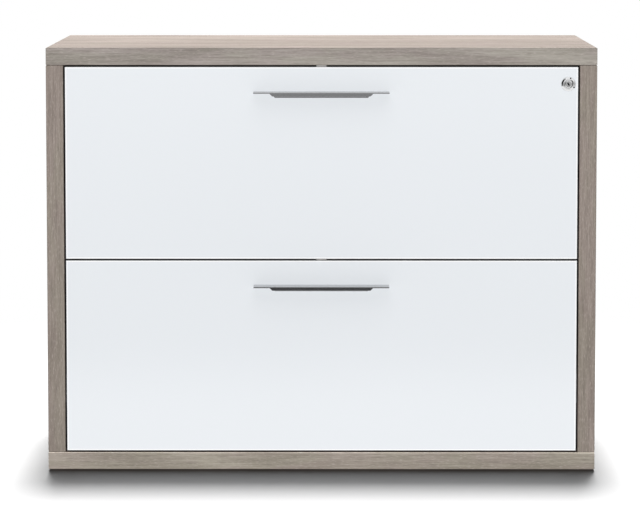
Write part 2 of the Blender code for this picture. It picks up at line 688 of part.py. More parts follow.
def lock(drawer, front, right_side):
    """Cylinder lock in the upper front: housing and nut fixed to it, plug and cam turning in them."""
    rim = LOCK_RIM_DIAMETER / 2
    barrel = LOCK_BARREL_DIAMETER / 2
    face = (LOCK_X, -FRONT_THICKNESS, LOCK_Z)
    housing_profile = (
        (LOCK_BORE, LOCK_RIM_HEIGHT),
        (LOCK_RIM_FLAT / 2, LOCK_RIM_HEIGHT),
        (rim, LOCK_RIM_EDGE),
        (rim, FIT_GAP),
        (barrel, FIT_GAP),
        (barrel, -BARREL_LENGTH),
        (LOCK_BORE, -BARREL_LENGTH),
    )
    housing = turned("lock_housing", housing_profile, ROUND_SEGMENTS, hollow=True)
    add(face_front(housing, face), drawer, "polished_chrome")
    hole = rod("lock_hole", barrel + FIT_GAP, 2 * (FRONT_THICKNESS + CUT_OVERSHOOT), ROUND_SEGMENTS)
    cut(front, face_front(hole, face))

    nut_profile = (
        (barrel + FIT_GAP, 0.0),
        (LOCK_NUT_DIAMETER / 2, 0.0),
        (LOCK_NUT_DIAMETER / 2, -LOCK_NUT_THICKNESS),
        (barrel + FIT_GAP, -LOCK_NUT_THICKNESS),
    )
    nut = turned("lock_nut", nut_profile, ROUND_SEGMENTS, hollow=True)
    add(face_front(nut, (LOCK_X, FIT_GAP, LOCK_Z)), drawer, "zinc_plated_steel")

    # The box side stands clear of the nut and of the cam's sweep.
    notch_low = LOCK_Z - max(LOCK_NUT_DIAMETER / 2, CAM_SWEEP) - RUN_GAP
    notch = block(
        "lock_notch",
        (BOX_INNER - CUT_OVERSHOOT, -CUT_OVERSHOOT, notch_low),
        (BOX_OUTER + CUT_OVERSHOOT, CAM_REAR + LOCK_TAIL_PROUD + RUN_GAP, BOX_TOP + CUT_OVERSHOOT),
    )
    cut(right_side, notch)

    axis = empty("lock_axis", face, drawer)
    plug_radius = LOCK_PLUG_DIAMETER / 2
    plug_top = LOCK_RIM_HEIGHT - LOCK_PLUG_RECESS
    plug_profile = (
        (0.0, plug_top),
        (LOCK_PLUG_FLAT / 2, plug_top),
        (plug_radius, plug_top - LOCK_PLUG_CHAMFER),
        (plug_radius, -BARREL_LENGTH),
        (0.0, -BARREL_LENGTH),
    )
    plug = turned("lock_plug", plug_profile, ROUND_SEGMENTS)
    add(face_front(plug, (0.0, 0.0, 0.0)), axis, "polished_chrome")
    half_tail = LOCK_TAIL / 2
    tail_end = FRONT_THICKNESS + CAM_REAR + LOCK_TAIL_PROUD
    tail = block(
        "lock_tail",
        (-half_tail, BARREL_LENGTH - JOIN_OVERLAP, -half_tail),
        (half_tail, tail_end, half_tail),
    )
    join(plug, tail)
    keyway = block(
        "keyway",
        (-KEYWAY_WIDTH / 2, -KEYWAY_HEIGHT / 2, plug_top - KEYWAY_DEPTH),
        (KEYWAY_WIDTH / 2, KEYWAY_HEIGHT / 2, plug_top + KEYWAY_DEPTH),
    )
    cut(plug, face_front(keyway, (0.0, -plug_top, 0.0), KEYWAY_TILT))

    # The cam's own frame has its lever along local X, swung down to where the lock is open.
    cam_middle = FRONT_THICKNESS + (CAM_FRONT + CAM_REAR) / 2
    lever = extruded("lock_cam", cam_outline(), CAM_THICKNESS)
    cam = add(as_mesh(face_front(lever, (0.0, cam_middle, 0.0), -LOCK_SWING)), axis, "zinc_plated_steel")
    hole_half = half_tail + FIT_GAP
    square = block(
        "cam_square",
        (-hole_half, cam_middle - CAM_THICKNESS, -hole_half),
        (hole_half, cam_middle + CAM_THICKNESS, hole_half),
    )
    cut(cam, square)
    peg_front = FRONT_THICKNESS + CAM_REAR - CAM_THICKNESS / 2
    peg_rear = FRONT_THICKNESS + BAR_Y + FORK_THICKNESS / 2 + PEG_PROUD
    peg = rod("cam_peg", PEG_DIAMETER / 2, peg_rear - peg_front, SMALL_SEGMENTS)
    join(cam, face_front(peg, (PEG_OUT, (peg_front + peg_rear) / 2, -PEG_OUT)))


def locking_bar(case_boards_by_name, case):
    """Bar in a groove of the right side, with a fork for the lock's peg and a lug for each drawer."""
    frame = empty("locking_bar_frame", (OPENING_HALF, DRAWER_Y + BAR_Y, 0.0))
    fork_middle = UPPER_Z + FORK_Z
    bar_low = LOWER_Z + LUG_LOW - BAR_TAIL
    bar_high = fork_middle + FORK_SLOT_HALF + 2 * FORK_PRONG
    bar = block(
        "locking_bar",
        (FIT_GAP, -BAR_DEPTH / 2, bar_low),
        (FIT_GAP + BAR_THICKNESS, BAR_DEPTH / 2, bar_high),
    )
    add(bar, frame, "zinc_plated_steel")
    root = FIT_GAP + BAR_THICKNESS / 2
    prong_end = RUN_GAP - SLIDE_SPACE
    for name, low in (("upper", FORK_SLOT_HALF), ("lower", -FORK_SLOT_HALF - FORK_PRONG)):
        prong = block(
            f"{name}_fork_prong",
            (prong_end, -FORK_THICKNESS / 2, fork_middle + low),
            (root, FORK_THICKNESS / 2, fork_middle + low + FORK_PRONG),
        )
        join(bar, prong)
    for level, base in (("upper", UPPER_Z), ("lower", LOWER_Z)):
        lug = block(
            f"{level}_lug",
            (-LUG_REACH, -LUG_DEPTH / 2, base + LUG_LOW),
            (root, LUG_DEPTH / 2, base + LUG_HIGH),
        )
        join(bar, lug)

    groove_half = BAR_DEPTH / 2 + FIT_GAP
    bar_y = DRAWER_Y + BAR_Y
    groove = block(
        "bar_groove",
        (OPENING_HALF - CUT_OVERSHOOT, bar_y - groove_half, CASE_BASE),
        (OPENING_HALF + BAR_THICKNESS + 2 * FIT_GAP, bar_y + groove_half, CASE_TOP),
    )
    cut(case_boards_by_name["right_side_panel"], groove)

    wing = BAR_DEPTH / 2 + GUIDE_WING
    for level, base in (("upper", UPPER_Z), ("lower", LOWER_Z)):
        guide_low = base + SLIDE_TOP + GUIDE_RISE
        guide = block(
            f"{level}_bar_guide",
            (OPENING_HALF - FIT_GAP - GUIDE_THICKNESS, bar_y - wing, guide_low),
            (OPENING_HALF - FIT_GAP, bar_y + wing, guide_low + GUIDE_HEIGHT),
        )
        add(guide, case, "black_plastic")


def drawer_catch(level, drawer):
    """Plate on the right box side, with a tooth that the bar's lug rises in front of."""
    plate_face = BOX_OUTER + FIT_GAP
    plate_y = TOOTH_Y + JOIN_OVERLAP
    plate = block(
        f"{level}_lock_catch",
        (plate_face, plate_y, TOOTH_LOW - CATCH_PLATE_MARGIN),
        (plate_face + CATCH_PLATE, plate_y + CATCH_PLATE_DEPTH, TOOTH_HIGH + CATCH_PLATE_MARGIN),
    )
    add(plate, drawer, "zinc_plated_steel")
    tooth = block(
        f"{level}_catch_tooth",
        (plate_face + CATCH_PLATE - JOIN_OVERLAP, TOOTH_Y, TOOTH_LOW),
        (OPENING_HALF - TOOTH_END, TOOTH_Y + TOOTH_DEPTH, TOOTH_HIGH),
    )
    join(plate, tooth)


def main():
    """Builds the case, then each drawer with its slides, then the lock and its bar."""
    case = empty("case_frame", (0.0, 0.0, 0.0))
    boards = case_boards(case)
    floor_glides(case, boards["bottom_panel"])
    for level, height, gap in (("upper", UPPER_Z, TOP_REVEAL), ("lower", LOWER_Z, MIDDLE_REVEAL)):
        place = (0.0, DRAWER_Y, height)
        drawer = empty(f"{level}_drawer_frame", place)
        drawer_slides(level, place, drawer)
        front = drawer_front(level, drawer)
        gap_pad(level, drawer, gap)
        sides = drawer_box(level, drawer)
        handle(level, drawer, front)
        drawer_catch(level, drawer)
        if level == "upper":
            lock(drawer, front, sides["right"])
    locking_bar(boards, case)


main()
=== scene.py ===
"""Looks of a two-drawer lateral filing pedestal.

The packed frame is loaded first. One operator for each group of like pieces then models the finer pieces
over their solids, in metres and in the frame's own places, and gives them their finishes. The last
operator sets the floor, the lamps and the camera.
"""

import json
import math

import bmesh
import bpy
from bpy.props import FloatProperty, FloatVectorProperty, IntProperty, PointerProperty
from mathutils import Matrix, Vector


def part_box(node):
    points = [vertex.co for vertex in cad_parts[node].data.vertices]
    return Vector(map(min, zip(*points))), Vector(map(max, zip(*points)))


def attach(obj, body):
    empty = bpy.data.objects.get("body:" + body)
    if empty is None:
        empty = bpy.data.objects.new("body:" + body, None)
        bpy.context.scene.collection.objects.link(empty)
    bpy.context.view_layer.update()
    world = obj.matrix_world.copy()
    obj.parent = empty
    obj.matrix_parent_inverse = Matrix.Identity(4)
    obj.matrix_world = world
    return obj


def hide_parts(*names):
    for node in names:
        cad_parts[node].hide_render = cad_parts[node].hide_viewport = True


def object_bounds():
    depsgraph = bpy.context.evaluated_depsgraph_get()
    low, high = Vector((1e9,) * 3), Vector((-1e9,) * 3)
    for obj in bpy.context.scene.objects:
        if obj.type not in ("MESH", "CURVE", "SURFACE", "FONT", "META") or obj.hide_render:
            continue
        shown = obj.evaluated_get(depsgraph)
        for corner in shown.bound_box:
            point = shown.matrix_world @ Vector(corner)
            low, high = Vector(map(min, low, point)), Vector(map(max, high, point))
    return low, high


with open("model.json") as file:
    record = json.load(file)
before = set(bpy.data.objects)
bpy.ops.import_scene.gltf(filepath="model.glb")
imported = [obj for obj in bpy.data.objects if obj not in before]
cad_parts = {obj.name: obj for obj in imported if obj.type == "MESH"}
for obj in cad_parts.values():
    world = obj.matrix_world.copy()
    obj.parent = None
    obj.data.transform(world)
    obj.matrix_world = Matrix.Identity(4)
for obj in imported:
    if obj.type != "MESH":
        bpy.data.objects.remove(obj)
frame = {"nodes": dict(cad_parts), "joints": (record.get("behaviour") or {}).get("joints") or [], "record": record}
CAD_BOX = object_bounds()

bl_info = {
    "name": "Lateral filing pedestal",
    "version": (1, 0, 0),
    "blender": (4, 5, 0),
    "location": "View3D > Sidebar > Pedestal",
    "description": "Models and finishes the pieces of a two-drawer lateral filing pedestal",
    "category": "Object",
}

# Names and places from the frame
RECORD = frame["record"]
BODY_OF = {node: body for body, nodes in RECORD["behaviour"]["bodies"].items() for node in nodes}
LOCK_AXIS = Vector(next(joint["pos_m"] for joint in frame["joints"] if joint["name"] == "lock_turn"))
LEVELS = ("upper", "lower")
HANDS = ("right", "left")
ENDS = ("front", "rear")
GLIDES = [f"{end}_{hand}_floor_glide" for end in ENDS for hand in HANDS]

# Modelling values
RIGHT = Vector((1.0, 0.0, 0.0))
BACK = Vector((0.0, 1.0, 0.0))
UP = Vector((0.0, 0.0, 1.0))
PLAY = 0.0003                  # between pieces that fit in each other
PLAY_ALL_ROUND = Vector((PLAY, PLAY, PLAY))
OVERSHOOT = 0.002              # a cutter's reach past the face it opens
THROUGH = 4                    # length of a drill, in thicknesses of what it goes through
WELD = 0.000002                # points closer than this are one
SPECK = 0.001                  # first size of a plane that is drawn out into an outline
EDGE_STEPS = 3                 # facets of a rounded edge
FINE_EDGE_STEPS = 4            # facets of a finer one
ARC_STEPS = 5                  # edges of a rounded corner
ROUND_STEPS = 64               # edges of a large circle
SMALL_STEPS = 24               # edges of a small circle
BALL_STEPS = 16                # edges round a ball
FACING = 0.99                  # a direction with more than this along an axis runs that way
SHARP = math.radians(30)       # edges that turn more than this are rounded
SMOOTH = math.radians(40)      # edges that turn more than this stay sharp in the shading


def colour_property(name, description, default):
    """A colour that a user can change."""
    return FloatVectorProperty(
        name=name, description=description, default=default, subtype="COLOR", size=3, min=0.0, max=1.0
    )


def length_property(name, description, default):
    """A length in metres that a user can change."""
    return FloatProperty(
        name=name, description=description, default=default, min=0.0, unit="LENGTH", precision=5
    )


def number_property(name, description, default):
    """A plain number that a user can change."""
    return FloatProperty(name=name, description=description, default=default, min=0.0, precision=3)


def angle_property(name, description, default):
    """An angle that a user can change, given in degrees."""
    return FloatProperty(name=name, description=description, default=math.radians(default), unit="ROTATION")


class CaseSettings(bpy.types.PropertyGroup):
    """Case boards and floor glides."""

    edge: length_property("Edge", "Round on the edges of the boards", 0.0012)
    nail: length_property("Nail", "Diameter of a floor glide's nail", 0.003)
    nail_length: length_property("Nail length", "Length of the nail in the bottom board", 0.014)
    glide_edge: length_property("Glide edge", "Round on the lower edge of a glide", 0.0012)
    oak_light: colour_property("Light oak", "Laminate between the grain lines", (0.435, 0.386, 0.350))
    oak_dark: colour_property("Dark oak", "Laminate in the grain lines", (0.250, 0.217, 0.192))
    oak_warm: colour_property("Warm cast", "Tint of the pinkish parts", (1.0, 0.972, 0.985))
    oak_cool: colour_property("Cool cast", "Tint of the grey-green parts", (0.975, 0.985, 0.955))
    flame: number_property("Flame", "Share of the broad flame lines in the tone of a board", 0.24)
    side_flame: number_property("Side flame", "The same share in the side boards' edge bands", 0.08)
    flecks: number_property("Flecks", "Strength of the pale flecks", 0.38)
    pores: number_property("Pores", "Strength of the dark pores", 0.42)
    face_cast: colour_property("Face cast", "Tint of the boards' broad faces", (1.0, 0.962, 0.945))
    top_cast: colour_property("Top cast", "Tint of the top board's edge band", (0.95, 0.985, 1.0))
    side_cast: colour_property("Side cast", "Tint of the side boards' bands", (0.770, 0.7545, 0.7335))
    bottom_cast: colour_property("Bottom cast", "Tint of the bottom board's band", (0.928, 0.939, 0.896))
    # The bottom board's upper front edge takes a lighter copy of its band's oak: a painted highlight for the light
    # that the rounded edge catches
    arris_highlight_gain: number_property("Arris", "Lightness of the bottom board's upper front edge", 2.2)
    plastic: colour_property("Plastic", "Moulded black plastic", (0.022, 0.022, 0.024))


class FrontSettings(bpy.types.PropertyGroup):
    """White drawer fronts and the pads above them."""

    edge: length_property("Edge", "Round on the edges of the fronts", 0.0007)
    band: length_property("Edge band", "Thickness of the band round a front", 0.0023)
    pad_edge: length_property("Pad edge", "Round on the edges of the pads", 0.0006)
    lock_hole: length_property("Lock hole", "Diameter of the hole for the lock", 0.0166)
    lacquer: colour_property("Lacquer", "Gloss white of the fronts", (0.790, 0.818, 0.848))
    # The band's white is lighter than the face: an edge band of its own, lightened further as a painted highlight
    # round the rim of each front
    lacquer_band_highlight: colour_property("Lacquer band", "White of the band round a front", (0.965, 0.972, 0.978))
    # A grey for the faces in the gaps round a front: painted shade that darkens the gaps
    lacquer_gap_shade: colour_property("Lacquer edge", "White in the gaps round a front", (0.42, 0.43, 0.44))
    pad: colour_property("Pad", "Translucent grey of the pads", (0.46, 0.445, 0.43))


class HandleSettings(bpy.types.PropertyGroup):
    """Lip handles and their screws."""

    grip: length_property("Grip", "Length of the turned-down lip under the plate", 0.150)
    metal: length_property("Metal", "Thickness of the section", 0.002)
    lip: length_property("Lip", "Height of the lip, plate included", 0.0059)
    leg: length_property("Leg", "Height of the leg, plate included", 0.0095)
    bend: length_property("Bend", "Outer radius between plate and lip", 0.0011)
    corner: length_property("Corner", "Radius of the free edges", 0.0004)
    screw: length_property("Screw", "Diameter of a screw", 0.004)
    screw_head: length_property("Screw head", "Diameter of a screw's head", 0.008)
    head_height: length_property("Head height", "Height of a screw's head", 0.0025)
    aluminium: colour_property("Aluminium", "Satin anodised metal", (0.465, 0.471, 0.483))


class LockSettings(bpy.types.PropertyGroup):
    """Cylinder lock."""

    rim: length_property("Rim", "Diameter of the rim", 0.0204)
    rim_height: length_property("Rim height", "Height of the rim on the front", 0.0025)
    rim_edge: length_property("Rim edge", "Height of the rim at its outer edge", 0.0008)
    crest: length_property("Crest", "Diameter of the rim's highest ring", 0.0156)
    crest_flat: length_property("Crest flat", "Width of that ring", 0.0003)
    dish: length_property("Dish", "Fall of the rim from its crest to the bore", 0.00050)
    bore: length_property("Bore", "Diameter of the bore for the plug", 0.0126)
    barrel: length_property("Barrel", "Diameter of the threaded barrel", 0.016)
    plug: length_property("Plug", "Diameter of the plug", 0.012)
    plug_flat: length_property("Plug flat", "Diameter of the plug's flat face", 0.0088)
    plug_recess: length_property("Plug recess", "Depth of the plug's face below the rim", 0.0006)
    plug_slope: length_property("Plug slope", "Height of the slope round the plug's face", 0.0010)
    keyway_width: length_property("Keyway width", "Width of the key slot", 0.0021)
    keyway_height: length_property("Keyway height", "Height of the key slot", 0.0048)
    keyway_depth: length_property("Keyway depth", "Depth of the key slot", 0.012)
    keyway_lean: angle_property("Keyway lean", "Lean of the key slot to the left", 31.0)
    mark_width: length_property("Mark width", "Width of a position mark on the rim", 0.0021)
    mark_floor: length_property("Mark floor", "Height of a position mark's floor on the front", 0.0006)
    tail: length_property("Tail", "Side of the square tail", 0.005)
    nut_edge: length_property("Nut edge", "Round on the edges of the nut", 0.0007)
    cam: length_property("Cam", "Thickness of the cam", 0.003)
    cam_hub: length_property("Cam hub", "Diameter of the cam round the tail", 0.013)
    cam_tip: length_property("Cam tip", "Diameter of the cam round its peg", 0.008)
    peg: length_property("Peg", "Diameter of the cam's peg", 0.004)
    peg_throw: length_property("Peg throw", "From the lock's axis to the peg", 0.00905)
    peg_hang: angle_property("Peg hang", "Angle of the open cam below the level", 45.0)
    chrome: colour_property("Chrome", "Polished chrome plate of the rim", (0.82, 0.825, 0.83))
    nickel: colour_property("Nickel", "Darker plate of the plug", (0.78, 0.785, 0.79))
    # Near-black lining of the key slot, painted shade for its depth, and of the two position marks
    slot_shade_and_mark_black: colour_property("Dark", "Inside of the key slot and the marks", (0.012, 0.012, 0.013))


class BoxSettings(bpy.types.PropertyGroup):
    """Drawer boxes and rails for hanging folders."""

    edge: length_property("Edge", "Round on the edges of the box boards", 0.0008)
    rail_edge: length_property("Rail edge", "Round on the edges of the folder rails", 0.0009)
    melamine: colour_property("Melamine", "Matt white of the boxes", (0.70, 0.70, 0.69))


class SlideSettings(bpy.types.PropertyGroup):
    """Ball-bearing slides."""

    steel: length_property("Steel", "Thickness of the rails", 0.0012)
    lip: length_property("Lip", "Height of the case rail's lips", 0.001)
    bend: length_property("Bend", "Outer radius of the rails' bends", 0.0018)
    hole: length_property("Hole", "Diameter of a screw hole", 0.0046)
    hole_start: length_property("Hole start", "From a rail's front end to its first hole", 0.035)
    hole_pitch: length_property("Hole pitch", "From hole to hole", 0.096)
    cage_steel: length_property("Cage steel", "Thickness of a ball cage", 0.0006)
    ball: length_property("Ball", "Diameter of a ball", 0.003)
    ball_rest: length_property("Ball rest", "From the end of a cage's flange to its balls", 0.0021)
    balls: IntProperty(name="Balls", description="Balls in one row of a cage", default=12, min=1, max=40)
    zinc: colour_property("Zinc", "Bright zinc plate", (0.60, 0.612, 0.63))


class BarSettings(bpy.types.PropertyGroup):
    """Locking bar, its guides and the drawer catches."""

    edge: length_property("Edge", "Round on the edges of these pieces", 0.0005)
    thickness: length_property("Thickness", "Thickness of the bar in its groove", 0.006)
    tail: length_property("Tail", "Length of the bar below its lower lug", 0.012)
    lug: length_property("Lug", "Height and depth of a lug", 0.008)
    lug_reach: length_property("Lug reach", "Reach of a lug out of the case side", 0.008)
    prong: length_property("Prong", "Height and thickness of a prong of the fork", 0.003)
    slot: length_property("Slot", "Height between the prongs", 0.0052)
    plate: length_property("Plate", "Thickness of a catch's plate", 0.002)
    tooth: length_property("Tooth", "Depth of a catch's tooth", 0.008)
    tooth_margin: length_property("Tooth margin", "Plate above and below the tooth", 0.004)
    hole: length_property("Hole", "Diameter of a screw hole", 0.0032)


class StageSettings(bpy.types.PropertyGroup):
    """Floor, lamps and camera."""

    camera_place: FloatVectorProperty(
        name="Place", description="Camera's place", default=(0.0176, -5.5273, 0.8386), subtype="TRANSLATION"
    )
    camera_pitch: angle_property("Pitch", "Camera's angle below the horizon", 5.6755)
    camera_yaw: angle_property("Yaw", "Camera's turn to the left", 0.2131)
    camera_lens: FloatProperty(
        name="Lens", description="Focal length on a 36 mm sensor", default=205.47, min=1.0, unit="CAMERA"
    )
    ambient: number_property("Ambient", "Strength of the even light all round", 0.24)
    rear_power: number_property("Rear lamp", "Watts of the softbox above and behind", 232.0)
    front_power: number_property("Front lamp", "Watts of the softbox in front and above", 9.5)
    side_power: number_property("Side lamps", "Watts of each softbox beside the camera", 74.0)
    floor_power: number_property("Floor lamps", "Watts of the far lamps that only light the floor", 94000.0)
    floor_grey: number_property("Floor grey", "How much light the lit floor returns to the camera", 0.20)
    floor_bounce: number_property("Floor bounce", "Light that the floor returns to the object", 0.48)


# Opening, selecting and shaping a piece


def activate(piece):
    """Makes one piece the only one selected, and the active one."""
    bpy.ops.object.select_all(action="DESELECT")
    piece.select_set(True)
    bpy.context.view_layer.objects.active = piece


def settle(piece):
    """Takes a piece's place, turn and size into its mesh."""
    activate(piece)
    bpy.ops.object.transform_apply(location=True, rotation=True, scale=True)
    return piece


def pick(piece, kind, chosen=lambda item: True):
    """Opens a piece for editing, with the vertices, edges or faces selected that pass a test."""
    activate(piece)
    bpy.ops.object.mode_set(mode="EDIT")
    bpy.ops.mesh.select_mode(type=kind)
    bpy.ops.mesh.select_all(action="DESELECT")
    shape = bmesh.from_edit_mesh(piece.data)
    for item in {"VERT": shape.verts, "EDGE": shape.edges, "FACE": shape.faces}[kind]:
        if chosen(item):
            item.select_set(True)
    bmesh.update_edit_mesh(piece.data)


def close():
    """Ends the editing of a piece."""
    bpy.ops.object.mode_set(mode="OBJECT")


def is_sharp(edge):
    """Whether two faces meet at an edge that wants rounding."""
    return edge.calc_face_angle(0.0) > SHARP


def is_sharp_from_front(edge):
    """Whether such an edge runs straight in from the front."""
    first, second = (vertex.co for vertex in edge.verts)
    return is_sharp(edge) and abs(first.y - second.y) > FACING * (first - second).length


def round_edges(piece, radius, segments=EDGE_STEPS, chosen=is_sharp, finish_index=-1):
    """Rounds the chosen edges. The new faces take one of the piece's finishes, or their neighbours' one."""
    while len(piece.data.materials) <= finish_index:
        piece.data.materials.append(None)
    pick(piece, "EDGE", chosen)
    bpy.ops.mesh.bevel(offset=radius, segments=segments, affect="EDGES", material=finish_index)
    close()


def apply_modifier(piece, kind, **settings):
    """Adds a modifier with its settings and applies it."""
    modifier = piece.modifiers.new("step", kind)
    for name, value in settings.items():
        setattr(modifier, name, value)
    activate(piece)
    bpy.ops.object.modifier_apply(modifier=modifier.name)


def combine(piece, tool, operation="DIFFERENCE"):
    """Cuts a tool out of a piece or joins it on, with the tool's own finish, and takes the tool away."""
    mode = "TRANSFER" if tool.data.materials else "INDEX"
    apply_modifier(piece, "BOOLEAN", operation=operation, object=tool, material_mode=mode)
    bpy.data.objects.remove(tool, do_unlink=True)


def start_primitive(add, **values):
    """Starts a piece by adding a primitive with nothing else selected."""
    bpy.ops.object.select_all(action="DESELECT")
    add(**values)
    return settle(bpy.context.object)


def start_block(name, low, high):
    """Starts a piece as a box between two corners."""
    low, high = Vector(low), Vector(high)
    add = bpy.ops.mesh.primitive_cube_add
    piece = start_primitive(add, size=1.0, location=(low + high) / 2, scale=high - low)
    piece.name = name
    return piece


def start_rounded_block(name, low, high, radius, segments=EDGE_STEPS, finish_index=-1):
    """Starts a piece as a box with rounded edges."""
    piece = start_block(name, low, high)
    round_edges(piece, radius, segments, finish_index=finish_index)
    return piece


def start_groove(node, margin=PLAY_ALL_ROUND):
    """Starts a cutter as the box of the node that it makes room for, and a margin round it."""
    low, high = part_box(node)
    return start_block("groove", low - margin, high + margin)


def start_rods(name, middles, axis, diameter, length, sides=SMALL_STEPS):
    """Starts a piece as round rods of one size along an axis."""
    turn = {"X": (0.0, math.pi / 2, 0.0), "Y": (math.pi / 2, 0.0, 0.0), "Z": (0.0, 0.0, 0.0)}[axis]
    form = {"vertices": sides, "radius": diameter / 2, "depth": length, "rotation": turn}
    add = bpy.ops.mesh.primitive_cylinder_add
    return join(name, [start_primitive(add, location=middle, **form) for middle in middles])


def start_balls(name, middles, diameter):
    """Starts a piece as balls of one size."""
    form = {"segments": BALL_STEPS, "ring_count": BALL_STEPS // 2, "radius": diameter / 2}
    add = bpy.ops.mesh.primitive_uv_sphere_add
    return join(name, [start_primitive(add, location=middle, **form) for middle in middles])


def join(name, pieces):
    """Makes one piece of several that don't touch."""
    activate(pieces[0])
    for piece in pieces[1:]:
        piece.select_set(True)
    if len(pieces) > 1:
        bpy.ops.object.join()
    pieces[0].name = name
    return pieces[0]


def start_chain(name, points):
    """Starts a piece as a line of edges through points, and leaves it open for editing."""
    points = [Vector(point) for point in points]
    piece = start_primitive(bpy.ops.mesh.primitive_plane_add, size=SPECK, location=points[0])
    piece.name = name
    bpy.ops.object.mode_set(mode="EDIT")
    bpy.ops.mesh.select_mode(type="VERT")
    bpy.ops.mesh.select_all(action="SELECT")
    bpy.ops.mesh.merge(type="CENTER")
    for here, onward in zip(points, points[1:]):
        bpy.ops.mesh.extrude_vertices_move(TRANSFORM_OT_translate={"value": onward - here})
    bpy.ops.mesh.select_all(action="SELECT")
    return piece


def start_section(name, outline, direction):
    """Starts a piece as a flat outline drawn out along a direction."""
    piece = start_chain(name, outline)
    bpy.ops.mesh.edge_face_add()
    bpy.ops.mesh.extrude_region_move(TRANSFORM_OT_translate={"value": direction})
    bpy.ops.mesh.select_all(action="SELECT")
    bpy.ops.mesh.normals_make_consistent(inside=False)
    close()
    return piece


def start_turned(name, corners, middle, axis, steps, closed=False):
    """Starts a piece as corners of (radius, height, rounding) turned about an axis through its middle."""
    piece = start_chain(name, [middle + RIGHT * u + axis * v for u, v in rounded(corners, closed)])
    bpy.ops.mesh.spin(steps=steps, angle=2 * math.pi, center=middle, axis=axis)
    bpy.ops.mesh.select_all(action="SELECT")
    bpy.ops.mesh.remove_doubles(threshold=WELD)
    bpy.ops.mesh.normals_make_consistent(inside=False)
    close()
    return piece


def rounded(corners, closed=False):
    """Points of an outline of (u, v, radius), with an arc of that radius at each corner."""
    points = []
    for i, (u, v, radius) in enumerate(corners):
        here = Vector((u, v))
        if radius == 0.0:
            points.append(here)
            continue
        back = (Vector(corners[i - 1][:2]) - here).normalized()
        onward = (Vector(corners[(i + 1) % len(corners)][:2]) - here).normalized()
        half = back.angle(onward) / 2
        middle = here + (back + onward).normalized() * (radius / math.sin(half))
        first = here + back * (radius / math.tan(half)) - middle
        last = here + onward * (radius / math.tan(half)) - middle
        angle = math.atan2(first.y, first.x)
        sweep = (math.atan2(last.y, last.x) - angle + math.pi) % (2 * math.pi) - math.pi
        for step in range(ARC_STEPS + 1):
            points.append(middle + on_circle(radius, angle + sweep * step / ARC_STEPS))
    if closed:
        points.append(points[0])
    return points


def on_circle(radius, angle):
    """The point of a circle at an angle."""
    return radius * Vector((math.cos(angle), math.sin(angle)))


def paint_faces(piece, finish_index, chosen):
    """Gives the chosen faces another of the piece's finishes."""
    for polygon in piece.data.polygons:
        if chosen(polygon):
            polygon.material_index = finish_index


def complete(piece, node, *finishes):
    """Gives a piece its finishes and even shading, and puts it in the frame for its node."""
    for index, finish in enumerate(finishes):
        if index < len(piece.data.materials):
            piece.data.materials[index] = finish
        else:
            piece.data.materials.append(finish)
    activate(piece)
    bpy.ops.object.shade_smooth_by_angle(angle=SMOOTH)
    apply_modifier(piece, "WEIGHTED_NORMAL", keep_sharp=True)
    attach(piece, BODY_OF[node])
    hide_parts(node)


def copy_piece(source, shift, mirrored):
    """A copy with its own mesh, moved, or mirrored to the other side of the case first."""
    activate(source)
    bpy.ops.object.duplicate(linked=False)
    piece = bpy.context.object
    if mirrored:
        piece.scale.x = -1.0
    piece.location = shift
    settle(piece)
    if mirrored:
        pick(piece, "FACE")
        bpy.ops.mesh.normals_make_consistent(inside=False)
        close()
    return piece


def repeat(nodes, rename, finish, model, *values):
    """Models a piece for the first of some like nodes, and copies it to the others.

    A copy for the other side of the case is mirrored.
    """
    low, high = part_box(nodes[0])
    pieces = [model(low, high, *values)]
    for node in nodes[1:]:
        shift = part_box(node)[0] - low
        mirrored = ("left" in node) != ("left" in nodes[0])
        if mirrored:
            shift.x = 0.0
        pieces.append(copy_piece(pieces[0], shift, mirrored))
    for piece, node in zip(pieces, nodes):
        piece.name = node.replace(*rename)
        complete(piece, node, finish)


def node_middle(node):
    """The middle of a node's box."""
    low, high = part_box(node)
    return (low + high) / 2


def dress(node, finish):
    """Gives a solid of the frame, whose shape is right, its finish."""
    materials = frame["nodes"][node].data.materials
    if materials:
        materials[0] = finish
    else:
        materials.append(finish)


# Finishes


class Wire:
    """A socket of a finish's nodes. Sums of wires and numbers add the Math nodes that work them out."""

    def __init__(self, tree, socket=None):
        self.tree = tree
        self.socket = socket

    def add(self, kind, settings, values, output=0):
        """Adds a node with its settings, then the values or wires of its sockets, and gives an output."""
        node = self.tree.nodes.new(kind)
        for name, value in settings.items():
            setattr(node, name, value)
        for name, value in values.items():
            socket = node.inputs[name]
            if isinstance(value, Wire):
                self.tree.links.new(value.socket, socket)
            elif socket.type == "RGBA":
                socket.default_value = (*value, 1.0)
            else:
                socket.default_value = value
        return Wire(self.tree, node.outputs[output]) if len(node.outputs) else None

    def math(self, operation, first, second):
        """Adds a Math node."""
        return self.add("ShaderNodeMath", {"operation": operation}, {0: first, 1: second})

    def __add__(self, other):
        return self.math("ADD", self, other)

    def __radd__(self, other):
        return self.math("ADD", other, self)

    def __sub__(self, other):
        return self.math("SUBTRACT", self, other)

    def __rsub__(self, other):
        return self.math("SUBTRACT", other, self)

    def __mul__(self, other):
        return self.math("MULTIPLY", self, other)

    def __rmul__(self, other):
        return self.math("MULTIPLY", other, self)


def start_finish(name):
    """A new finish, as its material and the wire of its Object coordinates."""
    material = bpy.data.materials.new(name)
    material.use_nodes = True
    material.node_tree.nodes.clear()
    place = Wire(material.node_tree).add("ShaderNodeTexCoord", {}, {}, "Object")
    return material, place


def end_finish(material, place, values):
    """Closes a finish with a Principled shader, and gives its material."""
    surface = place.add("ShaderNodeBsdfPrincipled", {}, values, "BSDF")
    place.add("ShaderNodeOutputMaterial", {}, {"Surface": surface})
    return material


def stretch(place, axis, lengthwise, across):
    """The coordinates scaled one way along an axis and another way across it."""
    scale = [across] * 3
    scale["XYZ".index(axis)] = lengthwise
    return place.add("ShaderNodeMapping", {}, {"Vector": place, "Scale": scale})


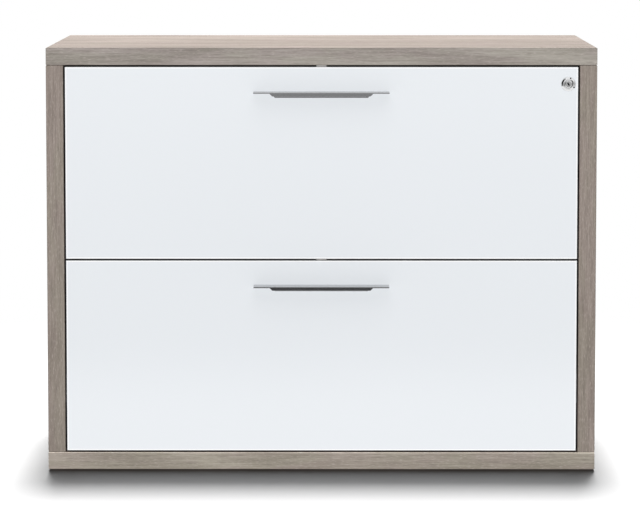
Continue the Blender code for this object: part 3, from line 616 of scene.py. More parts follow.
def noise(place, scale=1.0, detail=2.0, roughness=0.5, distortion=0.0):
    """Cloudy values between 0 and 1."""
    form = {"Scale": scale, "Detail": detail, "Roughness": roughness, "Distortion": distortion}
    return place.add("ShaderNodeTexNoise", {}, {"Vector": place, **form})


def span(value, start, end, low=0.0, high=1.0):
    """A smooth rise from low to high while a value goes from start to end."""
    values = {"Value": value, 1: start, 2: end, 3: low, 4: high}
    return value.add("ShaderNodeMapRange", {"interpolation_type": "SMOOTHSTEP"}, values)


def blend(factor, first, second, way="MIX"):
    """A mix of two colours."""
    wire = next(value for value in (factor, first, second) if isinstance(value, Wire))
    settings = {"data_type": "RGBA", "blend_type": way}
    return wire.add("ShaderNodeMix", settings, {0: factor, 6: first, 7: second}, 2)


def tinted(colour, cast):
    """A colour seen through a cast."""
    return blend(1.0, colour, cast, "MULTIPLY")


def bump(height, strength, distance):
    """A normal from a height."""
    return height.add("ShaderNodeBump", {}, {"Strength": strength, "Distance": distance, "Height": height})


def shade(colour, gain):
    """A colour made lighter or darker."""
    return tuple(min(1.0, channel * gain) for channel in colour)


def drifting(factor, colour, darkest, lightest):
    """A colour whose lightness drifts between two gains."""
    return blend(factor, shade(colour, darkest), shade(colour, lightest))


def oak_finish(name, axis, board_cast, flame_share, gain=1.0):
    """Satin oak-look laminate along an axis: broad flame lines, fine streaks, pale flecks, dark pores."""
    case = bpy.context.scene.pedestal_case
    material, place = start_finish(name)
    warmth = noise(stretch(place, axis, lengthwise=11.0, across=50.0))
    flame = noise(
        stretch(place, axis, lengthwise=0.75, across=5.0), detail=1.5, roughness=0.45, distortion=0.25
    )
    flame_lines = 19.0
    rings = flame.math("PINGPONG", flame * flame_lines, 1.0)
    streaks = noise(stretch(place, axis, lengthwise=14.0, across=400.0), detail=5.0, roughness=0.65)
    fleck_noise = noise(stretch(place, axis, lengthwise=150.0, across=1000.0))
    pore_noise = noise(stretch(place, axis, lengthwise=45.0, across=800.0), detail=1.0)
    flecks = span(fleck_noise, start=0.50, end=0.74)
    pores = span(pore_noise, start=0.57, end=0.70)
    tone = span((rings - 0.5) * flame_share + streaks, start=0.18, end=0.82)
    colour = blend(tone, shade(case.oak_dark, gain), shade(case.oak_light, gain))
    cast = blend(span(warmth, start=0.38, end=0.62), case.oak_cool, case.oak_warm)
    colour = tinted(colour, tinted(cast, board_cast))
    pale_gain, dark_gain = 1.22, 0.72
    colour = blend(flecks * case.flecks, colour, shade(case.oak_light, pale_gain * gain))
    colour = blend(pores * case.pores, colour, shade(case.oak_dark, dark_gain * gain))
    return end_finish(material, place, {
        "Base Color": colour,
        "Roughness": 0.56 + pores * 0.10 - streaks * 0.06,
        "Specular IOR Level": 0.06,
        "Normal": bump(streaks * 0.4 - pores, strength=0.12, distance=0.0003),
    })


def lacquer_finish(name, colour):
    """High-gloss lacquer: an even white under a clear coat with a trace of orange peel."""
    material, place = start_finish(name)
    drift = noise(place, scale=3.0, detail=1.0)
    peel = noise(place, scale=260.0, detail=1.0)
    return end_finish(material, place, {
        "Base Color": drifting(drift, colour, darkest=0.99, lightest=1.01),
        "Roughness": 0.16 + drift * 0.06,
        "Coat Weight": 0.5,
        "Coat Roughness": 0.03,
        "Normal": bump(peel, strength=0.05, distance=0.0002),
    })


def melamine_finish(name):
    """Matt white melamine with a fine pearl texture."""
    material, place = start_finish(name)
    drift = noise(place, scale=5.0)
    pearl = noise(place, scale=1400.0, detail=1.0)
    return end_finish(material, place, {
        "Base Color": drifting(drift, bpy.context.scene.pedestal_box.melamine, darkest=0.97, lightest=1.03),
        "Roughness": 0.44 + pearl * 0.16,
        "Normal": bump(pearl, strength=0.25, distance=0.0001),
    })


def aluminium_finish(name):
    """Satin anodised aluminium, brushed along its length."""
    colour = bpy.context.scene.pedestal_handle.aluminium
    material, place = start_finish(name)
    brush = noise(stretch(place, "X", lengthwise=14.0, across=2600.0), detail=3.0, roughness=0.7)
    drift = noise(place, scale=18.0, detail=1.0)
    return end_finish(material, place, {
        "Base Color": drifting(brush * 0.7 + drift * 0.3, colour, darkest=0.88, lightest=1.08),
        "Metallic": 1.0,
        "Roughness": 0.18 + brush * 0.12,
        "Normal": bump(brush, strength=0.06, distance=0.0001),
    })


def chrome_finish(name, colour):
    """Polished plate with faint wiping marks."""
    material, place = start_finish(name)
    wipe = noise(stretch(place, "X", lengthwise=300.0, across=1800.0))
    return end_finish(material, place, {
        "Base Color": drifting(wipe, colour, darkest=0.96, lightest=1.02),
        "Metallic": 1.0,
        "Roughness": 0.06 + span(wipe, start=0.45, end=0.75) * 0.08,
    })


def zinc_finish(name):
    """Bright zinc plate, a little cloudy."""
    material, place = start_finish(name)
    cloud = noise(place, scale=55.0, detail=4.0, roughness=0.6)
    rolled = noise(stretch(place, "Y", lengthwise=12.0, across=900.0))
    return end_finish(material, place, {
        "Base Color": drifting(cloud, bpy.context.scene.pedestal_slide.zinc, darkest=0.86, lightest=1.10),
        "Metallic": 1.0,
        "Roughness": 0.26 + cloud * 0.16 + rolled * 0.06,
        "Normal": bump(rolled, strength=0.06, distance=0.0001),
    })


def plastic_finish(name, colour, roughness, scale):
    """Moulded plastic with a fine spark-eroded texture."""
    material, place = start_finish(name)
    grain = noise(place, scale=scale)
    drift = noise(place, scale=60.0, detail=1.0)
    return end_finish(material, place, {
        "Base Color": drifting(drift, colour, darkest=0.92, lightest=1.08),
        "Roughness": roughness + grain * 0.12,
        "Normal": bump(grain, strength=0.20, distance=0.0001),
    })


# Pieces of the case


class PEDESTAL_OT_case_boards(bpy.types.Operator):
    """Models the four thick boards of the case and finishes them and the back panel"""

    bl_idname = "pedestal.case_boards"
    bl_label = "Case boards"

    # A board's finishes after the one of its broad faces, by number
    band = 1
    end = 2
    # Finish number of the painted highlight on the bottom board's upper front edge
    highlit_arris = 3

    def execute(self, context):
        case = context.scene.pedestal_case
        for node, axis, cast, flame in (
            ("top_panel", "X", case.top_cast, case.flame),
            ("bottom_panel", "X", case.bottom_cast, case.flame),
            ("left_side_panel", "Z", case.side_cast, case.side_flame),
            ("right_side_panel", "Z", case.side_cast, case.side_flame),
        ):
            low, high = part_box(node)
            name = node.replace("panel", "board")
            board = start_rounded_block(name, low, high, case.edge, FINE_EDGE_STEPS, self.band)
            combine(board, start_groove("back_panel"))
            if node == "right_side_panel":
                combine(board, self.bar_groove(low, high))
            if node == "bottom_panel":
                combine(board, self.nail_holes(case))
            paint_faces(board, self.band, lambda face: abs(face.normal.y) > FACING)
            finishes = [
                oak_finish(f"oak_{name}", axis, case.face_cast, case.flame),
                oak_finish(f"oak_{name}_band", axis, cast, flame),
            ]
            if axis == "X":
                paint_faces(board, self.end, lambda face: abs(face.normal.x) > FACING)
                finishes.append(oak_finish(f"oak_{name}_end", "Y", cast, flame))
            # Painted highlight: the upper front edge of the bottom board is a lighter copy of the band's oak
            if node == "bottom_panel":
                corner = Vector((0.0, low.y, high.z))
                paint_faces(board, self.highlit_arris, lambda face: (face.center - corner).yz.length < case.edge)
                finishes.append(oak_finish(f"oak_{name}_arris", axis, cast, flame, case.arris_highlight_gain))
            complete(board, node, *finishes)
        dress("back_panel", oak_finish("oak_back_panel", "X", case.face_cast, case.flame))
        return {"FINISHED"}

    def bar_groove(self, low, high):
        """The groove that the locking bar slides in, from end to end of the board."""
        bar_low, bar_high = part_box("locking_bar")
        return start_block(
            "bar_groove",
            (low.x - OVERSHOOT, bar_low.y - PLAY, low.z - OVERSHOOT),
            (bar_high.x + PLAY, bar_high.y + PLAY, high.z + OVERSHOOT),
        )

    def nail_holes(self, case):
        """The holes for the nails of the floor glides."""
        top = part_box(GLIDES[0])[1].z
        middles = [(*node_middle(node).xy, top) for node in GLIDES]
        return start_rods("nail_holes", middles, "Z", case.nail + 2 * PLAY, 2 * (case.nail_length + PLAY))


class PEDESTAL_OT_floor_glides(bpy.types.Operator):
    """Models the round nail-in glides under the case"""

    bl_idname = "pedestal.floor_glides"
    bl_label = "Floor glides"

    def execute(self, context):
        case = context.scene.pedestal_case
        plastic = plastic_finish("black_moulded_plastic", case.plastic, roughness=0.42, scale=1500.0)
        repeat(GLIDES, ("floor_glide", "nail_in_glide"), plastic, self.glide, case)
        return {"FINISHED"}

    def glide(self, low, high, case):
        """A low disc with a rounded foot, and the nail above it."""
        radius = (high.x - low.x) / 2
        nail = case.nail / 2
        disc_top = high.z - case.nail_length
        return start_turned("glide", [
            (0.0, low.z, 0.0),
            (radius, low.z, case.glide_edge),
            (radius, disc_top, case.glide_edge / 3),
            (nail, disc_top, 0.0),
            (nail, high.z - nail, 0.0),
            (0.0, high.z, 0.0),
        ], Vector((*((low + high) / 2).xy, 0.0)), UP, SMALL_STEPS * 2)


# Drawer fronts and what is on them


class PEDESTAL_OT_drawer_fronts(bpy.types.Operator):
    """Models the white gloss fronts with their rounded edges, holes and grooves"""

    bl_idname = "pedestal.drawer_fronts"
    bl_label = "Drawer fronts"

    # A front's finishes after the one of its face, by number
    # the band round the face, part edge band and part painted highlight
    band = 1
    # The side faces in the gaps and the rounded edges take the grey of the painted gap shade
    edge = 2

    def execute(self, context):
        settings = context.scene.pedestal_front
        screw_hole = context.scene.pedestal_handle.screw + 2 * PLAY
        finishes = [
            lacquer_finish("white_gloss", settings.lacquer),
            lacquer_finish("white_gloss_band_highlight", settings.lacquer_band_highlight),
            lacquer_finish("white_gloss_gap_shade", settings.lacquer_gap_shade),
        ]
        for level in LEVELS:
            node = f"{level}_drawer_front"
            low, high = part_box(node)
            front = start_block(f"{level}_front_panel", low, high)
            pick(front, "FACE", lambda face: abs(face.normal.y) > FACING)
            bpy.ops.mesh.inset(thickness=settings.band)
            close()
            # The band round the face takes the lighter white: part edge band, part painted highlight
            paint_faces(front, self.band, lambda face: not face.select)
            # Painted shade: the side faces in the gaps, and then the rounded edges, take the grey
            paint_faces(front, self.edge, lambda face: abs(face.normal.y) < 1.0 - FACING)
            round_edges(front, settings.edge, FINE_EDGE_STEPS, finish_index=self.edge)
            combine(front, start_groove(f"{level}_box_bottom"))
            depth = THROUGH * (high.y - low.y)
            middles = [node_middle(f"{level}_handle_{hand}_screw") for hand in HANDS]
            combine(front, start_rods("screw_holes", middles, "Y", screw_hole, depth))
            if level == "upper":
                middle = (LOCK_AXIS.x, high.y, LOCK_AXIS.z)
                hole = start_rods("lock_hole", [middle], "Y", settings.lock_hole, depth, ROUND_STEPS)
                combine(front, hole)
            complete(front, node, *finishes)
        return {"FINISHED"}


class PEDESTAL_OT_gap_pads(bpy.types.Operator):
    """Models the soft pads in the gaps above the fronts"""

    bl_idname = "pedestal.gap_pads"
    bl_label = "Gap pads"

    def execute(self, context):
        settings = context.scene.pedestal_front
        soft = plastic_finish("clear_grey_pad", settings.pad, roughness=0.34, scale=700.0)
        for level in LEVELS:
            node = f"{level}_gap_pad"
            low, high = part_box(node)
            pad = start_rounded_block(f"{level}_soft_pad", low, high, settings.pad_edge, FINE_EDGE_STEPS)
            complete(pad, node, soft)
        return {"FINISHED"}


class PEDESTAL_OT_handles(bpy.types.Operator):
    """Models the aluminium lip handles, cut from one bent section"""

    bl_idname = "pedestal.handles"
    bl_label = "Handles"

    def execute(self, context):
        metal = aluminium_finish("satin_aluminium_brushed")
        nodes = [f"{level}_handle" for level in LEVELS]
        repeat(nodes, ("handle", "lip_handle"), metal, self.handle, context.scene.pedestal_handle)
        return {"FINISHED"}

    def handle(self, low, high, settings):
        """The section drawn out, its lip and leg mitred under the plate, and drilled for its screws."""
        top, rear, tip = high.z, high.y, low.y
        metal, corner = settings.metal, settings.corner
        inner = max(settings.bend - metal, corner)
        section = rounded([
            (rear, top, corner),
            (tip, top, settings.bend),
            (tip, top - settings.lip, corner),
            (tip + metal, top - settings.lip, corner),
            (tip + metal, top - metal, inner),
            (rear - metal, top - metal, inner),
            (rear - metal, top - settings.leg, corner),
            (rear, top - settings.leg, corner),
        ])
        handle = start_section("handle", [(low.x, y, z) for y, z in section], RIGHT * (high.x - low.x))
        half = settings.grip / 2
        under = top - metal
        bottom = top - settings.leg - OVERSHOOT
        past = high.x + OVERSHOOT
        for side in (-1, 1):
            mitre = [
                (side * half, tip - OVERSHOOT, under),
                (side * past, tip - OVERSHOOT, under),
                (side * past, tip - OVERSHOOT, bottom),
                (side * (half - (under - bottom)), tip - OVERSHOOT, bottom),
            ]
            combine(handle, start_section("mitre", mitre, BACK * (rear - tip + 2 * OVERSHOOT)))
        middles = []
        for hand in HANDS:
            screw = node_middle(f"upper_handle_{hand}_screw")
            middles.append((screw.x, rear, screw.z))
        tapped = settings.screw + 2 * PLAY
        combine(handle, start_rods("tapped_holes", middles, "Y", tapped, THROUGH * metal))
        return handle


class PEDESTAL_OT_handle_screws(bpy.types.Operator):
    """Models the pan-head screws that hold the handles from behind"""

    bl_idname = "pedestal.handle_screws"
    bl_label = "Handle screws"

    chamfer_share = 0.2      # of the shank's radius
    dome_share = 0.55        # of the head's height
    seat_corner = 0.0002
    recess_reach = 0.55      # of the head's radius
    recess_width = 0.13      # of the head's radius
    recess_depth = 0.6       # of the head's height

    def execute(self, context):
        zinc = zinc_finish("zinc_plate_screws")
        nodes = [f"{level}_handle_{hand}_screw" for level in LEVELS for hand in HANDS]
        repeat(nodes, ("screw", "pan_screw"), zinc, self.screw, context.scene.pedestal_handle)
        return {"FINISHED"}

    def screw(self, low, high, settings):
        """A pan head with a cross recess on a plain shank."""
        middle = Vector(((low.x + high.x) / 2, 0.0, (low.z + high.z) / 2))
        shank, head = settings.screw / 2, settings.screw_head / 2
        chamfer = shank * self.chamfer_share
        seat = high.y - settings.head_height
        screw = start_turned("screw", [
            (0.0, low.y, 0.0),
            (shank - chamfer, low.y, 0.0),
            (shank, low.y + chamfer, 0.0),
            (shank, seat, 0.0),
            (head, seat, self.seat_corner),
            (head, high.y, settings.head_height * self.dome_share),
            (0.0, high.y, 0.0),
        ], middle, BACK, SMALL_STEPS)
        arm, width = head * self.recess_reach, head * self.recess_width
        depth = settings.head_height * self.recess_depth
        for across, upright in ((arm, width), (width, arm)):
            combine(screw, start_block(
                "recess",
                (middle.x - across, high.y - depth, middle.z - upright),
                (middle.x + across, high.y + depth, middle.z + upright),
            ))
        return screw


class PEDESTAL_OT_lock(bpy.types.Operator):
    """Models the cylinder lock: housing, plug with key slot, nut and cam"""

    bl_idname = "pedestal.lock"
    bl_label = "Cylinder lock"

    # Radii of the turned corners
    crisp = 0.0002
    eased = 0.0003
    soft = 0.0004
    broad = 0.0005

    mark_angles = (math.radians(70), math.radians(-30))    # above the level, from the right
    slot_round = 0.3                                       # of the key slot's width
    cam_edge_steps = 2
    nut_sides = 6

    def execute(self, context):
        lock = context.scene.pedestal_lock
        chrome = chrome_finish("polished_chrome_plate", lock.chrome)
        nickel = chrome_finish("polished_nickel_plate", lock.nickel)
        zinc = zinc_finish("zinc_plate_lock")
        # The near-black lining of the key slot is painted shade; the marks take the same finish
        slot_shade_and_mark_black = plastic_finish("painted_slot_shade_and_marks", lock.slot_shade_and_mark_black, roughness=0.6, scale=900.0)
        complete(self.housing(lock, slot_shade_and_mark_black), "lock_housing", chrome)
        complete(self.plug(lock, slot_shade_and_mark_black), "lock_plug", nickel)
        complete(self.nut(lock), "lock_nut", zinc)
        complete(self.cam(lock), "lock_cam", zinc)
        return {"FINISHED"}

    def housing(self, lock, slot_shade_and_mark_black):
        """A rim that slopes to both sides of its crest, the barrel behind it, and two dark marks."""
        rear = LOCK_AXIS.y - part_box("lock_housing")[1].y
        rim, crest, bore, barrel = lock.rim / 2, lock.crest / 2, lock.bore / 2, lock.barrel / 2
        housing = start_turned("lock_rim_and_barrel", [
            (bore, lock.rim_height - lock.dish, self.crisp),
            (crest - lock.crest_flat, lock.rim_height, 0.0),
            (crest, lock.rim_height, self.soft),
            (rim, lock.rim_edge, self.broad),
            (rim, PLAY, 0.0),
            (barrel, PLAY, 0.0),
            (barrel, rear, self.soft),
            (bore, rear, 0.0),
        ], LOCK_AXIS, -BACK, ROUND_STEPS, closed=True)
        for angle in self.mark_angles:
            mark = start_block(
                "mark",
                LOCK_AXIS + Vector((crest + PLAY, -lock.rim_height, -lock.mark_width / 2)),
                LOCK_AXIS + Vector((rim + OVERSHOOT, -lock.mark_floor, lock.mark_width / 2)),
            )
            self.cut_dark(housing, mark, angle, slot_shade_and_mark_black)
        return housing

    def cut_dark(self, piece, cutter, angle, slot_shade_and_mark_black):
        """Cuts a dark recess, turned anticlockwise about the lock's axis as the front shows it."""
        pick(cutter, "VERT")
        bpy.ops.transform.rotate(
            value=angle, orient_axis="Y", orient_type="GLOBAL", center_override=LOCK_AXIS
        )
        close()
        cutter.data.materials.append(slot_shade_and_mark_black)
        if not piece.data.materials:
            piece.data.materials.append(None)
        combine(piece, cutter)

    def plug(self, lock, slot_shade_and_mark_black):
        """The turning plug with a sloped face and a leaning key slot, and its square tail."""
        barrel_rear = LOCK_AXIS.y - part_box("lock_housing")[1].y
        radius, flat, tail = lock.plug / 2, lock.plug_flat / 2, lock.tail / 2
        face = lock.rim_height - lock.plug_recess
        plug = start_turned("lock_cylinder_plug", [
            (0.0, face, 0.0),
            (flat, face, self.eased),
            (radius, face - lock.plug_slope, self.crisp),
            (radius, barrel_rear, self.eased),
            (0.0, barrel_rear, 0.0),
        ], LOCK_AXIS, -BACK, ROUND_STEPS)
        combine(plug, start_block(
            "tail",
            LOCK_AXIS + Vector((-tail, -barrel_rear - OVERSHOOT, -tail)),
            (LOCK_AXIS.x + tail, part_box("lock_plug")[1].y, LOCK_AXIS.z + tail),
        ), "UNION")
        half = Vector((lock.keyway_width / 2, 0.0, lock.keyway_height / 2))
        slot = start_block(
            "slot",
            LOCK_AXIS - half - BACK * (face + OVERSHOOT),
            LOCK_AXIS + half + BACK * (lock.keyway_depth - face),
        )
        round_edges(slot, lock.keyway_width * self.slot_round, chosen=is_sharp_from_front)
        # Painted shade: the key slot is lined near-black for its depth
        self.cut_dark(plug, slot, lock.keyway_lean, slot_shade_and_mark_black)
        return plug

    def nut(self, lock):
        """A six-sided nut behind the front."""
        low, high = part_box("lock_nut")
        middle = (low + high) / 2
        thickness = high.y - low.y
        nut = start_rods("lock_hex_nut", [middle], "Y", high.x - low.x, thickness, self.nut_sides)
        round_edges(nut, lock.nut_edge)
        combine(nut, start_rods("hole", [middle], "Y", lock.barrel + 2 * PLAY, 2 * thickness, ROUND_STEPS))
        return nut

    def cam(self, lock):
        """A lever on the plug's square tail, hanging where the lock is open, with a peg at its tip."""
        low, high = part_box("lock_cam")
        hub, tip, hang = lock.cam_hub / 2, lock.cam_tip / 2, -lock.peg_hang
        lean = math.acos((hub - tip) / lock.peg_throw)
        axis = LOCK_AXIS.xz
        peg = axis + on_circle(lock.peg_throw, hang)
        outline = []
        for middle, radius, first, last in (
            (axis, hub, hang + lean, hang + 2 * math.pi - lean),
            (peg, tip, hang - lean, hang + lean),
        ):
            for step in range(SMALL_STEPS + 1):
                x, z = middle + on_circle(radius, first + (last - first) * step / SMALL_STEPS)
                outline.append((x, low.y, z))
        cam = start_section("lock_lever_cam", outline, BACK * lock.cam)
        round_edges(cam, PLAY, self.cam_edge_steps)
        seat = Vector((axis.x, low.y + lock.cam / 2, axis.y))
        hole = Vector((lock.tail / 2 + PLAY, lock.cam, lock.tail / 2 + PLAY))
        combine(cam, start_block("square", seat - hole, seat + hole))
        length = high.y - seat.y
        rod = start_rods("peg", [(peg.x, high.y - length / 2, peg.y)], "Y", lock.peg, length)
        round_edges(rod, 2 * PLAY)
        combine(cam, rod, "UNION")
        return cam


# Drawer boxes and slides


class PEDESTAL_OT_drawer_boxes(bpy.types.Operator):
    """Models the sides, backs and bottoms of the drawer boxes"""

    bl_idname = "pedestal.drawer_boxes"
    bl_label = "Drawer boxes"

    def execute(self, context):
        edge = context.scene.pedestal_box.edge
        white = melamine_finish("matt_white_melamine")
        for level in LEVELS:
            bottom_low, bottom_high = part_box(f"{level}_box_bottom")
            groove_end = bottom_high + PLAY_ALL_ROUND + BACK * OVERSHOOT
            for hand in HANDS:
                node = f"{level}_box_{hand}_side"
                low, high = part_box(node)
                side = start_rounded_block(f"{level}_{hand}_box_board", low, high, edge)
                combine(side, start_block("groove", bottom_low - PLAY_ALL_ROUND, groove_end))
                for end in ENDS:
                    margin = PLAY_ALL_ROUND + RIGHT * OVERSHOOT
                    combine(side, start_groove(f"{level}_{end}_file_rail", margin))
                if node == "upper_box_right_side":
                    combine(side, self.lock_notch(context.scene.pedestal_lock, low, high))
                complete(side, node, white)
            for name in ("back", "bottom"):
                node = f"{level}_box_{name}"
                board = start_rounded_block(f"{level}_{name}_box_board", *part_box(node), edge)
                complete(board, node, white)
        return {"FINISHED"}

    def lock_notch(self, lock, low, high):
        """The corner of a side that is cut away for the lock's cam to turn in."""
        sweep = lock.peg_throw + lock.cam_tip / 2
        tail_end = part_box("lock_plug")[1].y + 2 * PLAY
        return start_block(
            "lock_notch",
            (low.x - OVERSHOOT, low.y - OVERSHOOT, LOCK_AXIS.z - sweep - 2 * PLAY),
            (high.x + OVERSHOOT, tail_end, high.z + OVERSHOOT),
        )


class PEDESTAL_OT_file_rails(bpy.types.Operator):
    """Models the steel rails for hanging folders"""

    bl_idname = "pedestal.file_rails"
    bl_label = "Folder rails"

    def execute(self, context):
        edge = context.scene.pedestal_box.rail_edge
        zinc = zinc_finish("zinc_plate_folder_rails")
        for name in [f"{level}_{end}" for level in LEVELS for end in ENDS]:
            node = f"{name}_file_rail"
            rail = start_rounded_block(f"{name}_folder_rail", *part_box(node), edge, FINE_EDGE_STEPS)
            complete(rail, node, zinc)
        return {"FINISHED"}


def start_channel(name, low, high, web_outside, steel, bend, lip=0.0):
    """Starts a piece as a bent channel, lipped or plain, its web towards the case side or the box."""
    web, end = (high.x, low.x) if web_outside else (low.x, high.x)
    way = math.copysign(1.0, end - web)
    inner = bend - steel
    upper = [
        (web + way * steel, high.z - steel, inner),
        (end, high.z - steel, 0.0),
        (end, high.z, 0.0),
        (web, high.z, bend),
    ]
    if lip:
        back = end - way * steel
        lip_bend = bend * 0.6
        upper[1:3] = [
            (back, high.z - steel, inner / 2),
            (back, high.z - steel - lip, 0.0),
            (end, high.z - steel - lip, 0.0),
            (end, high.z, lip_bend),
        ]
    lower = [(x, low.z + high.z - z, radius) for x, z, radius in reversed(upper)]
    outline = [(x, low.y, z) for x, z in rounded(upper + lower)]
    return start_section(name, outline, BACK * (high.y - low.y))


class PEDESTAL_OT_slides(bpy.types.Operator):
    """Models the bent rails of the ball-bearing slides"""

    bl_idname = "pedestal.slides"
    bl_label = "Slide rails"

    def execute(self, context):
        slide = context.scene.pedestal_slide
        zinc = zinc_finish("zinc_plate_slides")
        for rail, web_outside, lip in (
            ("case_rail", True, slide.lip),
            ("middle_rail", True, 0.0),
            ("drawer_rail", False, 0.0),
        ):
            nodes = [f"{level}_{hand}_{rail}" for level in LEVELS for hand in HANDS]
            repeat(nodes, ("rail", "channel"), zinc, self.rail, slide, web_outside, lip)
        return {"FINISHED"}

    def rail(self, low, high, slide, web_outside, lip):
        """A channel with a row of screw holes through its web."""
        channel = start_channel("rail", low, high, web_outside, slide.steel, slide.bend, lip)
        web = high.x if web_outside else low.x
        middles = []
        along = low.y + slide.hole_start
        while along < high.y - slide.hole_start / 2:
            middles.append((web, along, (low.z + high.z) / 2))
            along += slide.hole_pitch
        combine(channel, start_rods("holes", middles, "X", slide.hole, THROUGH * slide.steel))
        return channel


class PEDESTAL_OT_ball_cages(bpy.types.Operator):
    """Models the pressed strips in the slides, with a row of balls above and one below"""

    bl_idname = "pedestal.ball_cages"
    bl_label = "Ball cages"

    def execute(self, context):
        zinc = zinc_finish("zinc_plate_cages")
        for row in ("outer", "inner"):
            nodes = [f"{level}_{hand}_{row}_ball_cage" for level in LEVELS for hand in HANDS]
            repeat(nodes, ("ball_cage", "ball_strip"), zinc, self.cage, context.scene.pedestal_slide)
        return {"FINISHED"}

    def cage(self, low, high, slide):
        """A thin channel whose flanges lie in the middle of the balls."""
        steel = slide.cage_steel
        drop = UP * ((slide.ball - steel) / 2)
        strip = start_channel("strip", low + drop, high - drop, True, steel, bend=2 * steel)
        pitch = (high.y - low.y) / slide.balls
        middles = []
        for z in (low.z + slide.ball / 2, high.z - slide.ball / 2):
            for index in range(slide.balls):
                middles.append((low.x + slide.ball_rest, low.y + (index + 0.5) * pitch, z))
        combine(strip, start_balls("balls", middles, slide.ball), "UNION")
        return strip


class PEDESTAL_OT_locking_bar(bpy.types.Operator):
    """Models the locking bar with its fork and lugs, its guides and the drawer catches"""

    bl_idname = "pedestal.locking_bar"
    bl_label = "Locking bar"

    def execute(self, context):
        settings = context.scene.pedestal_bar
        zinc = zinc_finish("zinc_plate_hardware")
        colour = context.scene.pedestal_case.plastic
        plastic = plastic_finish("black_guide_plastic", colour, roughness=0.45, scale=1200.0)
        complete(self.bar(*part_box("locking_bar"), settings), "locking_bar", zinc)
        guides = [f"{level}_bar_guide" for level in LEVELS]
        repeat(guides, ("guide", "guide_plate"), plastic, self.guide, settings)
        catches = [f"{level}_lock_catch" for level in LEVELS]
        repeat(catches, ("catch", "catch_plate"), zinc, self.catch, settings)
        return {"FINISHED"}

    def bar(self, low, high, settings):
        """The bar in its groove, a fork for the lock's peg at its top, and a lug for each drawer."""
        face = high.x - settings.thickness
        bar = start_rounded_block("locking_bar_with_fork", (face, low.y, low.z), high, settings.edge)
        prong = high.z - 2 * settings.prong
        lug = low.z + settings.tail
        lug_end = face - PLAY - settings.lug_reach
        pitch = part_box("upper_lock_catch")[0].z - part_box("lower_lock_catch")[0].z
        root = high.x - settings.thickness / 2
        middle = (low.y + high.y) / 2
        for end, z, size in (
            (low.x, prong, settings.prong),
            (low.x, prong - settings.slot - settings.prong, settings.prong),
            (lug_end, lug, settings.lug),
            (lug_end, lug + pitch, settings.lug),
        ):
            finger_low = (end, middle - size / 2, z)
            finger_high = (root, middle + size / 2, z + size)
            combine(bar, start_rounded_block("finger", finger_low, finger_high, settings.edge), "UNION")
        return bar

    def guide(self, low, high, settings):
        """A flat plate over the bar's groove with a screw hole in each wing."""
        guide = start_rounded_block("guide", low, high, settings.edge)
        inset = (high.z - low.z) / 2
        middles = [(low.x, y, (low.z + high.z) / 2) for y in (low.y + inset, high.y - inset)]
        combine(guide, start_rods("holes", middles, "X", settings.hole, THROUGH * (high.x - low.x)))
        return guide

    def catch(self, low, high, settings):
        """A plate on the box side with two screw holes and a tooth in front of the bar's lug."""
        edge, margin = settings.edge, settings.tooth_margin
        plate_low = (low.x, low.y + edge, low.z)
        plate = start_rounded_block("plate", plate_low, (low.x + settings.plate, high.y, high.z), edge)
        tooth_low = (low.x + settings.plate / 2, low.y, low.z + margin)
        tooth_high = (high.x, low.y + settings.tooth, high.z - margin)
        combine(plate, start_rounded_block("tooth", tooth_low, tooth_high, edge), "UNION")
        inset = 2 * margin
        middles = [(low.x, high.y - inset, z) for z in (low.z + inset, high.z - inset)]
        combine(plate, start_rods("holes", middles, "X", settings.hole, THROUGH * settings.plate))
        return plate


# Floor, lamps and camera


